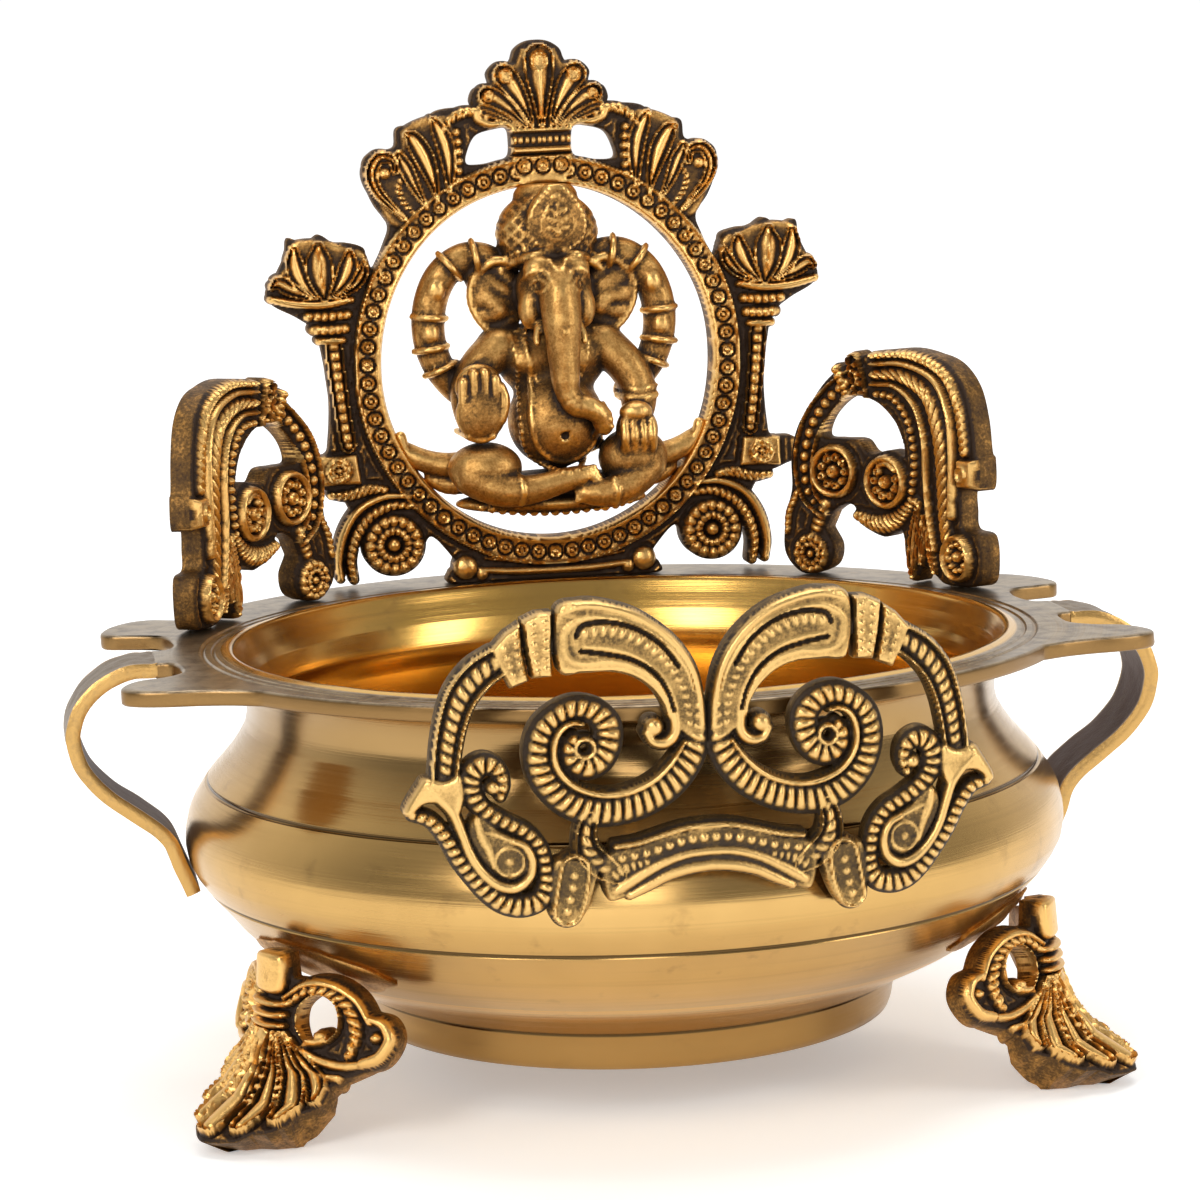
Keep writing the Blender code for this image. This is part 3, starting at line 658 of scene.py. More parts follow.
def make_strap(side, material):
    """A strap bent from thick sheet: rounded edges, and hammered a little inside."""
    route = spline(STRAP_ROUTE, steps=8)
    along = np.gradient(route, axis=0)
    along /= np.hypot(*along.T)[:, None]
    normal = np.column_stack([-along[:, 1], along[:, 0]])
    half, thick = STRAP_WIDTH / 2, STRAP_THICKNESS / 2
    across = np.concatenate([[-1.0], np.linspace(-0.955, 0.955, 15), [1.0]])
    top = np.column_stack([across * half, thick * np.where(np.abs(across) > 0.98, 1 - STRAP_ROUNDING, 1)])
    section = np.vstack([top, top[::-1] * (1, -1)])
    count, rows = len(section), len(route)
    s, k = np.meshgrid(np.arange(rows), np.arange(count), indexing="ij")
    y, depth = section[k, 0], section[k, 1]
    depth = depth + 0.16 * ripple(s * 0.55, y * 0.8) * (0.4 + 0.6 * (depth > 0))
    y = y * (1 + 0.012 * ripple(s * 0.25, 2.0)) + STRAP_CENTRE_Y
    co = np.stack([side * (route[s, 0] + depth * normal[s, 0]), y, route[s, 1] + depth * normal[s, 1]], -1)
    index = np.arange(rows * count).reshape(rows, count)
    nxt = np.roll(index, -1, 1)
    faces = np.stack([index[:-1], nxt[:-1], nxt[1:], index[1:]], -1).reshape(-1, 4).tolist()
    n = count // 2
    for row in (index[0], index[-1][::-1]):
        for a in range(n - 1):
            faces.append([row[a], row[a + 1], row[count - 2 - a], row[count - 1 - a]])
    wear = np.where(np.abs(section[:, 0]) > half * 0.93, 0.85, np.where(section[:, 1] > 0, 0.52, 0.10))
    name = "strap_handle_" + ("left" if side < 0 else "right")
    return make_mesh(name, co.reshape(-1, 3), [list(map(int, f)) for f in faces], material, np.tile(wear, rows))


def strap_brass():
    """Dull, pitted brass, rubbed bright along the strap's edges."""
    n = Nodes("worn_brass_looks")
    place = n.place()
    cloud = n.noise(place, 70.0, 4.0, 0.6)
    pits = n.noise(place, 900.0, 3.0, 0.7)
    level = n.math("ADD", n.wear(), n.vary(cloud, 0.35), clamp=True)
    level = n.math("ADD", level, n.vary(pits, 0.30), clamp=True)
    colour = n.ramp(level, [(0.10, (0.10, 0.055, 0.04)), (0.35, (0.15, 0.10, 0.058)),
                            (0.55, (0.205, 0.148, 0.09)), (0.85, (0.55, 0.33, 0.11))])
    return n.out(Base_Color=colour, Metallic=n.range(level, 0.1, 0.5, 0.7, 1.0),
                 Roughness=n.range(level, 0.1, 0.9, 0.55, 0.32),
                 Normal=n.bump(n.math("ADD", pits, n.times(cloud, 1.5)), 0.3))


# ---------------------------------------------------------------- the front plate

FRONT_THICKNESS = 4.2
FRONT_BEND = 480.0        # how little the plate bows: twice its radius
FRONT_Y = -103.3


def front_surface(u, v, depth):
    """Where a point of the plate's drawing lies: bowed a little, and uneven like a casting."""
    u = u + 0.22 * ripple(u * 0.13, v * 0.17)
    v = v + 0.22 * ripple(v * 0.15 + 3, u * 0.11)
    return np.column_stack([u, FRONT_Y - depth + u * u / FRONT_BEND, v])


def draw_front_plate():
    """The right half of two big scrolls over an arch; mirrored for the left."""
    r = Relief((0, -44.5), (64.5, 26), 0.34)
    # arch-shaped band at the outside
    r.stroke([(42.6, 11.2, 3.2), (46.2, 8.6, 3.4), (49.5, 4.4, 3.3), (51.5, -0.6, 3.1), (52.8, -6, 3),
              (53.6, -11.8, 2.9)], railed(ribs(2.3, 0.3, 0.7), 0.95), 1.7, 0.35)
    # two collars
    r.patch([(37.5, 19.4), (40.6, 17.4), (43.6, 14.2), (41.8, 9.6), (39.8, 5.6), (36, 7.2), (37, 13)],
            1.5, 0.7, closed_curve=False)
    r.patch([(30.9, 21.4), (34.2, 21.2), (37.3, 19.8), (36.7, 13.6), (35.6, 7.6), (31.4, 8), (31.2, 14)],
            2, 0.7, closed_curve=False)
    for points, lift in (([(38.7, 17.6, 0.9), (38.3, 12.6, 0.9), (37.2, 8, 0.8)], 2.2),
                         ([(41.4, 15, 0.9), (40.1, 11, 0.9), (38.9, 7.2, 0.8)], 2.1),
                         ([(32.6, 20.2, 0.9), (32.8, 14, 0.95), (32.8, 9, 0.9)], 2.7),
                         ([(35.2, 19.6, 0.9), (35, 14, 0.95), (34.4, 8.8, 0.9)], 2.7)):
        r.stroke(points, beads(1.9, 1), lift, None)
    # paisley head and its tail, which curls round a ball
    r.patch([(30.4, 21.6), (24.2, 23.6), (18, 22.6), (12.2, 20.2), (6.4, 15.4), (2.4, 9.4), (0.6, 3), (0.3, -3),
             (1.6, -7), (5, -5), (8.4, -1.5), (9.2, 1), (11.5, 4.5), (15.4, 7.4), (20.1, 8.6), (25.2, 8.5),
             (30.2, 9.3)], 1.55, 0.8)
    r.stroke([(28.6, 20.6, 1), (25.6, 19.6, 2), (26.6, 15, 2.4), (25.6, 12.4, 1.6)], plain, 1.7, None)
    r.stroke([(29.2, 21.2, 0.9), (24, 22.4, 1), (18, 21.4, 1), (12.6, 19.1, 1), (7.2, 14.8, 1),
              (3.4, 9.2, 1), (1.7, 3, 0.9), (1.2, -3, 0.8)], plain, 2, 0.35)
    r.stroke([(17.5, 19.6, 0.9), (24, 20.1, 1.3), (28.4, 17.6, 1.6), (28.9, 14, 1.8), (27.6, 11.4, 1.6),
              (24, 10.6, 1.5), (19.6, 10.9, 1.5), (14.6, 9.6, 1.5), (10.4, 6.3, 1.5), (7.6, 2.2, 1.5),
              (6.6, -2, 1.4), (6.9, -5, 1.3), (8.8, -6.7, 1.3), (11.2, -6.4, 1.1), (12.6, -4.4, 0.9)],
             plain, 1.9, 0.4)
    r.stroke([(18, 19.6, 1), (12.4, 17.2, 0.9), (7.4, 13, 0.8), (4.2, 8.2, 0.6), (2.9, 4, 0.4)], plain, 1.9, None)
    r.stroke([(24.4, 16.8, 1.6), (20, 17.2, 1.9), (15.6, 16, 1.9), (11.4, 13.4, 1.8), (7.8, 9.7, 1.6),
              (5.2, 5, 1.4), (4, 0.4, 1.2), (3.7, -3.6, 0.9)], ribs(1.9, 0.2, 0.7), 2, None)
    r.stroke([(24.8, 14.2, 1), (20.2, 13.7, 1.2), (15.4, 12.3, 1.2), (11, 9.3, 1.15), (8, 5, 1), (6.4, 0.6, 0.8)],
             plain, 1.8, None)
    r.groove([(26.3, 16.4, 0.5), (25, 18.4, 0.5), (20.2, 19, 0.5), (14.6, 17.6, 0.5), (9.4, 14, 0.45),
              (5.9, 9.2, 0.4)], 1)
    r.groove([(25.6, 13.3, 0.4), (20.2, 12.4, 0.45), (15.2, 11, 0.45), (11, 8.2, 0.45), (8.4, 4.4, 0.4),
              (7, 0.2, 0.4)], 1)
    r.ball(11.1, -3.3, 2.1, 2.3)
    # the big ribbed spiral with a rail inside it
    r.stroke([(1.9, 1, 1.1), (2.1, -4, 2), (3.6, -9.4, 2.6), (7.3, -14.4, 2.8), (12.6, -18, 2.8),
              (18.5, -19.8, 2.8), (24.2, -19.9, 2.7), (29.4, -17.6, 2.6), (33, -13.4, 2.5), (34.6, -8.4, 2.3),
              (33.9, -3.6, 2.1), (31.2, -0.4, 1.9), (27.2, 1.3, 1.9), (23.2, 0.4, 2.1), (20.6, -2.5, 2.4),
              (20.5, -6.4, 2.4), (22.2, -9.8, 2.2), (25.2, -11, 2), (27.8, -9.4, 1.7), (28.4, -6.6, 1.3),
              (27.4, -4.8, 0.8)], ribs(2.15, 0.15, 0.75), 2, 0.75)
    r.stroke([(4.8, -6.5, 0.5), (8, -11.1, 0.75), (12, -14.5, 0.85), (17.4, -16.5, 0.85), (22.8, -16.5, 0.85),
              (27.9, -14.3, 0.85), (30.9, -10.4, 0.85), (31.4, -6.1, 0.85), (30.2, -3.1, 0.8), (28, -1.7, 0.7),
              (25.6, -1.9, 0.5)], plain, 2.1, 0.3)
    r.ball(25.2, -7, 0.9, 1.4, None)
    r.ring(25.2, -7, 1.9, 0.65, 1.5, border=0.5)
    # side tab and the smooth band that sweeps round the eye
    r.patch([(50.4, -11.2), (53.6, -12.4), (57.6, -12), (59.4, -14), (62.1, -19), (60.6, -20.4), (57.6, -17.9),
             (54, -18.2), (51.5, -21), (49.6, -16.5)], 2, 1.5)
    r.stroke([(57.2, -14.4, 1.3), (54.6, -16.6, 1.4), (52.2, -19.6, 1.3), (50.6, -24, 1.2), (49.2, -28, 1.2),
              (46.9, -31.7, 1.2), (43.7, -34.5, 1.3), (40.2, -35.2, 1.3), (37.4, -33, 1.2), (36.8, -29.5, 1.1),
              (38.2, -26.6, 1), (40.6, -25.4, 0.9)], plain, 2.2, 0.3)
    r.patch([(47.6, -19.6), (49.6, -24), (46, -31), (41, -34), (37, -31), (38, -26), (43, -23)], 1.3, 0.8)
    r.stroke([(47.8, -20.4, 0.8), (46.9, -24, 1.5), (45.4, -27.6, 1.3), (44.6, -30.6, 0.8)], plain, 1.8, None)
    r.stroke([(46.2, -23.4, 0.7), (43.4, -24.2, 1), (40.6, -25.4, 0.7)], plain, 1.6, None)
    r.ring(41.4, -29.7, 2.9, 0.65, 1.7)
    r.ball(41.4, -29.7, 1.5, 1.7, None)
    # ribbed scroll beside the eye, running on round the bottom and up to the tab
    r.stroke([(42.4, -16.2, 0.9), (41.7, -13.6, 1.2), (42.7, -10.6, 1.6), (45.5, -9.5, 1.9), (48, -11.4, 2.1),
              (48.4, -14.8, 2.1), (46.8, -18, 1.9), (44, -20.4, 1.7), (40.9, -22.1, 1.5), (37.6, -24, 1.5),
              (35.2, -26.9, 1.5), (34.2, -30.6, 1.5), (33.9, -34.6, 1.6), (35.2, -38, 1.9), (38.6, -39.2, 2.1),
              (42.2, -38.6, 2), (45.4, -36.3, 1.9), (48.3, -33.2, 1.7), (51.2, -29.4, 1.6), (53.6, -25, 1.5),
              (56.6, -21.2, 1.3), (60.2, -20, 1)], ribs(1.95, 0.1, 0.8), 1.8, 0.5)
    r.ball(43.9, -14.2, 1.5, 1.9)
    # link down to the arch
    r.stroke([(24.8, -21.6, 1.9), (25.6, -25, 2.2), (25, -28.6, 2.7), (22.2, -31.6, 2.7), (19.4, -33.4, 2)],
             railed(rope(2.4, 0.5), 0.6), 1.7, 0.4)
    # arch: rail, beads, rail and lower moulding
    r.patch([(-1, -24.2), (4.7, -24.6), (9.4, -25.4), (14.2, -27.2), (19, -28), (22, -29.5), (22.6, -34),
             (21.4, -38.6),
             (18.6, -38.6), (16, -37.2), (12.6, -35.4), (8.2, -33.9), (3, -33.4), (-1, -33.3)], 1.1, 1)
    r.stroke([(-1, -24, 0.7), (5, -24.4, 0.7), (10, -25.6, 0.7), (15, -27, 0.7), (19.5, -27.6, 0.7)], plain, 1.5, 0.5)
    r.stroke([(0, -26.5, 1.35), (4.7, -26.8, 1.35), (9.4, -28, 1.25), (14.2, -29.3, 1.1), (18.5, -30, 1)],
             beads(2.5, 1), 1.8, None)
    r.stroke([(-1, -29.3, 1.2), (4.7, -29.7, 1.2), (9.4, -31, 1.3), (13.6, -33, 1.5), (17.6, -35.3, 1.6),
              (19.8, -36.6, 1.1)], plain, 1.9, None)
    r.stroke([(-1, -32.2, 1.45), (4, -32.6, 1.45), (9, -33.8, 1.4), (13.2, -35.8, 1.3), (17, -37.7, 1)], plain, 1.8,
             0.3)
    r.stroke([(13.4, -31, 1), (17.8, -32.2, 1.7), (20.4, -33.8, 1.7)], ribs(1.4, 0, 0.7), 1.7, None)
    # foot tab
    r.patch([(23.6, -31.5), (31.5, -29.5), (33, -34), (33.2, -40), (31.8, -42.8), (27.4, -42.8), (24.6, -38)], 1.1,
            0.6)
    r.stroke([(28, -32, 3.4), (28.8, -36.6, 3.5), (29.9, -40.6, 3.2)], railed(beads(2.5), 1.1, 0.35), 1.9, 0.4)
    r.echo(1.5, 1, 0.5)
    r.mirror()
    return r


# ---------------------------------------------------------------- the back panel

PANEL_Y, PANEL_THICKNESS = 97, 6.0
RING_CENTRE_Z = 55.8
RING_INNER = (42.4, 44.7)     # the opening's half axes
RING_DOTS, DOT_TURN = 33, 5.37
PANEL_HALF = [(0, 0.3), (13, 0.3), (26.8, 0.3), (27.3, 3), (25.5, 5.2), (27, 8), (31.5, 12.5),
              (34, 9), (37.5, 5.6), (41.5, 4.6), (46, 6.5), (49, 11), (51, 18), (54, 23.5),
              (60.4, 26.6), (63.6, 28.4), (63.6, 33.6), (57.6, 34.4), (56.3, 38), (55.7, 48), (56.8, 58),
              (58.6, 65.5), (63, 69.4),
              (69, 72.8), (70.4, 76), (68, 80), (65.6, 85), (64.8, 89.4), (60.3, 88), (57, 90), (53.5, 88),
              (50, 87.6), (46, 86.4), (45, 84), (43.4, 81), (40.3, 87), (39.2, 91.5),
              (42.5, 96.5), (44.6, 102), (44.9, 107.5), (42, 110.3), (37, 111), (35.9, 115.8),
              (29.5, 116.5), (26, 119.5), (20.5, 120.2), (16.6, 119.3), (17.5, 121.8), (16.2, 124.8),
              (12.7, 125.6), (12.9, 128.6), (10.6, 131), (7, 131.2), (5.6, 134.2), (3, 136), (0, 136.5)]
PANEL_GAP = [(8.2, 107.8), (7.8, 111.4), (8.6, 114.7), (12.6, 114.5), (16.6, 113.2), (18.6, 109.8), (19, 106.4),
             (15, 106), (11, 106.8)]


def panel_surface(u, v, depth):
    """Where a point of the panel's drawing lies, with the slight unevenness of a casting."""
    u = u + 0.2 * ripple(u * 0.15, v * 0.12)
    v = np.maximum(v + 0.2 * ripple(v * 0.14 + 5, u * 0.1), 0.15)
    return np.column_stack([u, PANEL_Y - depth, v])


def ellipse(a, b, start, end, half, steps=40):
    """Stroke points round the panel's ring; angles in degrees from the right, anticlockwise."""
    return [(a * cos(radians(t)), RING_CENTRE_Z + b * sin(radians(t)), half) for t in np.linspace(start, end, steps)]


def draw_panel():
    """The right half of the ring panel; mirrored for the left."""
    r = Relief((0, -1.5), (74, 140), 0.42)
    half = PANEL_HALF + [(-u, v) for u, v in PANEL_HALF[-2:0:-1]]
    r.patch(half, 0)
    # ring: smooth inner slope, rings with dots, outer rail
    r.stroke(ellipse(46.2, 48.5, -92, 92, 3), flat, 1.5, 0.2)
    r.stroke(ellipse(43.4, 45.7, -92, 92, 1), plain, 2, None)
    r.stroke(ellipse(49, 51.3, -92, 92, 0.6), plain, 2.3, None)
    for k in range(RING_DOTS):
        angle = radians(-90 + DOT_TURN * k)
        r.dotted_ring(46.2 * cos(angle), RING_CENTRE_Z + 48.5 * sin(angle), 2.05, 1.5)
    # block, drum and fan at the top
    r.patch([(-8, 108), (8.1, 108), (7.6, 104), (5.6, 100.7), (-5.6, 100.7)], 2, 0.8, closed_curve=False)
    for u in (0, 4.7):
        r.dotted_ring(u, 105.2, 2.1, 2)
    r.patch([(-7.4, 109), (7.4, 109), (7.2, 114.6), (-7.2, 114.6)], 0.8, 0.6, closed_curve=False)
    r.stroke([(-1, 109.2, 0.9), (4, 109.2, 0.9), (7.4, 109.2, 0.8)], plain, 2.2, 0.2)
    r.stroke([(-1, 114.2, 0.8), (4, 114.2, 0.8), (7.4, 114.2, 0.7)], plain, 2.3, 0.2)
    r.stroke([(-1, 111.7, 1.4), (4, 111.7, 1.4), (7, 111.7, 1.2)], ribs(1.6), 1.7, None)
    petal = railed(plain, 0.75, 0.35)
    r.patch([(0, 114.6), (7, 114.6), (15.4, 118.6), (16.4, 122), (13, 125), (11, 130), (6, 131), (4.4, 134.4),
             (0, 135.6)],
            1.2, 1, closed_curve=False)
    r.stroke([(0, 115.4, 1), (0, 121, 2.2), (0, 127.5, 3.7), (0, 131.8, 4)], petal, 2.8, 0.6)
    r.ring(0, 131.2, 2, 0.6, 2.9)
    r.stroke([(0, 117, 0.6), (0, 123, 1.1), (0, 128.5, 1.3)], plain, 3, None)
    r.stroke([(2.4, 115.4, 0.8), (4.4, 120.6, 1.9), (7, 125.4, 2.9), (8.9, 127.9, 3.1)], petal, 2.5, 0.5)
    r.ring(8.6, 127.7, 1.5, 0.5, 2.7)
    r.stroke([(4, 115.3, 0.8), (7.6, 119.2, 1.8), (11.2, 122, 2.5), (13.4, 123, 2.6)], petal, 2.3, 0.5)
    r.ring(13.2, 122.7, 1.2, 0.45, 2.5)
    r.stroke([(5.4, 115, 0.6), (9.2, 117.2, 1.2), (12.8, 118.9, 1.6), (15, 119.6, 1.5)], petal, 2, 0.4)
    r.stroke([(6.8, 114.8, 0.6), (10, 115.9, 0.9), (13.2, 115.9, 1.2), (15.8, 117.2, 1.3), (16.6, 119.2, 1)],
             plain, 1.9, 0.3)
    r.ball(13.9, 117.8, 1.1, 1.9, None)
    # leaves beside the fan
    r.stroke([(15.6, 119.2, 1), (19.2, 118.9, 1.4), (22.6, 117.4, 1.4), (24.6, 115, 1.1)], ribs(1.7, 0.6), 2, 0.4)
    r.stroke([(21.4, 101, 1.1), (21, 106, 1.4), (21, 110.5, 1.5), (21.6, 115.4, 1.4)], beads(2.4), 2.4, 0.8)
    leaf = railed(plain, 0.8, 0.35)
    r.patch([(21, 100), (22, 116), (27, 118.6), (35, 115.5), (36, 110.6), (41.6, 109.6), (43.6, 106), (42.6, 98),
             (36, 90.5)],
            1.2, 1.2)
    r.stroke([(23.8, 99.5, 0.8), (23.6, 105, 1.9), (24.4, 111, 2.5), (26.2, 115.6, 2.1), (27.2, 117.4, 1.2)],
             leaf, 2.5, 0.4)
    r.stroke([(26.8, 97.6, 0.8), (28, 103, 2), (30, 108.6, 2.8), (32.4, 112.8, 2.4), (34, 114, 1.2)],
             leaf, 2.7, 0.4)
    r.stroke([(29.6, 95.6, 0.7), (32.2, 100.4, 1.6), (34.4, 105.4, 2.1), (36.2, 108.8, 1.6)], leaf, 2.3, 0.4)
    r.stroke([(32.2, 93.6, 0.7), (35.4, 97, 1.2), (36.6, 101, 1.2), (35.4, 104, 0.8)], ribs(1.5, 0.5), 2, None)
    r.stroke([(35.4, 93, 0.9), (39, 96.6, 1.3), (42, 100.4, 1.6), (43.2, 104.8, 1.8), (41.2, 108.4, 1.8),
              (38, 108, 1.5), (37.2, 105.2, 1.2)], railed(plain, 0.8, 0.3), 2.5, 0.4)
    r.ball(40, 104.6, 1.8, 2.4, None)
    r.stroke([(31.8, 92.6, 1.1), (35.6, 89.4, 1.2), (38.8, 85.4, 1.2), (41.6, 80.8, 1.1), (43.6, 76.6, 0.9)],
             beads(1.9), 1.7, 0.4)
    # lotus on its pillar
    r.patch([(52, 74), (45.2, 82), (46, 85.4), (50, 86.8), (57, 89), (64, 88.4), (65, 84), (68.6, 78), (61, 74)],
            1.2, 1)
    for points in ([(56.2, 74.6, 1.4), (57, 79, 3.4), (57.4, 83.8, 3.5), (57.4, 87, 1.8)],
                   [(54.6, 74.6, 1), (51.6, 78.4, 2.3), (49.9, 82.2, 2.6), (49.6, 85, 1.5)],
                   [(58.4, 74.6, 1), (61.8, 78.4, 2.4), (63.4, 83, 2.5), (63.6, 86.6, 1.5)],
                   [(53.2, 74.4, 0.8), (49, 76.8, 1.6), (46.6, 79.8, 1.8), (45.8, 82.6, 1)],
                   [(59.8, 74.5, 0.9), (64, 76.6, 2), (67.2, 78.4, 2.1), (69, 77.6, 1.1)]):
        r.stroke(points, petal, 2.6, 0.3)
    r.stroke([(56.4, 76, 0.4), (57.2, 81, 0.6), (57.5, 86, 0.4)], plain, 3, None)
    r.stroke([(49.4, 73.6, 0.9), (56, 72.6, 1.2), (63, 73, 1.2), (69.4, 74.4, 1)], plain, 2.8, 0.3)
    r.stroke([(50.6, 69.9, 1.3), (55.4, 69.6, 1.5), (60.4, 69.8, 1.3)], ribs(1.9), 2.6, 0.3)
    r.stroke([(51.4, 66.3, 1.4), (55.2, 66.1, 1.5), (59, 66.3, 1.4)], ribs(1.7), 2.3, 0.3)
    r.stroke([(52, 63.4, 0.9), (55, 63.2, 1), (58, 63.4, 0.9)], plain, 2.2, 0.3)
    r.stroke([(54.4, 62, 2.3), (53.7, 54, 2.2), (52.7, 45, 2.1), (51.6, 37, 2.1)], railed(ribs(2.6), 0.5, 0.3), 2,
             0.4)
    # tile, big rosette and the crescents round it
    r.patch([(49.6, 34.6), (59.4, 34.2), (59.6, 26.6), (48.6, 26.8)], 1.5, 0.8, closed_curve=False)
    r.rosette(54.4, 30.6, 3.3, 8, 1.3, None, 1.5)
    r.stroke([(42.8, 25.2, 1), (47, 25.4, 1.6), (52, 24.2, 1.5), (56.4, 24.4, 0.9)], ribs(1.6, 0.8), 2, 0.4)
    r.rosette(41, 11, 7.7, 16, 2.6, 0.4)
    r.stroke([(35.2, 20.4, 0.9), (41, 21, 1.3), (46.6, 18.6, 1.5), (50.4, 13.8, 1.5), (52, 8, 1.3),
              (51.4, 2.6, 1)], ribs(1.8, 0.4), 2.2, 0.4)
    r.stroke([(36.5, 23.2, 0.7), (43.6, 23.2, 1), (49.8, 20.2, 1.1), (53.6, 14.6, 1.2), (55.2, 8, 1.1),
              (54.8, 3, 0.9)], plain, 2, 0.4)
    # plinth
    r.stroke([(-1, 2.6, 1.1), (10, 2.8, 1.1), (19.4, 3.6, 0.9)], plain, 1.4, None)
    r.stroke([(-1, 5.2, 0.6), (10, 5.4, 0.6), (18, 6.6, 0.5)], plain, 1.2, None)
    r.ball(23.2, 4.4, 3.2, 2.3, 0)
    r.ball(19, 2.6, 1.7, 1.6, None)
    r.hole(PANEL_GAP)
    inner = np.hypot(r.u / RING_INNER[0], (r.v - RING_CENTRE_Z) / RING_INNER[1])
    r.out = np.maximum(r.out, (1 - inner) * RING_INNER[0])
    r.echo()
    r.mirror()
    return r


# ---------------------------------------------------------------- the wings

WING_RADIUS, WING_THICKNESS = 103, 5.2
WING_ARC = radians(1) * WING_RADIUS      # millimetres to a degree
WING_CLEARANCE = 0.9
WING_OUTLINE = [(36.3, 22), (35.2, 15), (34.8, 6), (36.9, 1), (39.4, 0.3), (42.3, 2.5), (43, 7.5),
                (41.6, 13), (43.6, 17.4), (46.2, 18.2), (47.6, 13.4), (51.6, 10.6), (54.8, 12.6), (55.6, 6),
                (57.4, 0.3),
                (59.2, 4), (61.4, 2), (63.2, 0.3), (67.4, 0.3), (70.9, 1.8), (71.8, 7), (71.2, 13.4), (67.6, 14.6),
                (67.2, 19), (67.4, 24.4), (71.1, 24.9), (71.4, 32.2), (70.7, 34), (70, 42), (68.3, 49.6),
                (64.6, 55), (59.4, 57.2), (53.4, 57.3), (47.4, 55.6), (42.4, 50), (39.2, 43), (37.2, 37), (36.3, 30)]
WING_OPENING = [(41.4, 35.4), (42.6, 41), (46, 45.6), (50.2, 44.8), (53.6, 40.4), (55.2, 35.4), (55.5, 31.2),
                (52.8, 32.4), (49.4, 31.4), (47.4, 34.6), (43.8, 34.8)]


def arc_mm(points):
    """Turn degrees round the bowl into millimetres along the wing."""
    return [(p[0] * WING_ARC, *p[1:]) for p in points]


def wing_surface(side):
    """Where a point of the wing's drawing lies: round the bowl, and clear of the panel."""
    def surface(u, v, depth):
        u = u + 0.2 * ripple(u * 0.16, v * 0.13 + side)
        v = np.maximum(v + 0.2 * ripple(v * 0.15, u * 0.1 + 2), 0.15)
        angle = u / WING_RADIUS
        radius = WING_RADIUS - depth
        y = np.minimum(radius * np.cos(angle), PANEL_Y - PANEL_THICKNESS / 2 - WING_CLEARANCE)
        return np.column_stack([side * radius * np.sin(angle), y, v])
    return surface


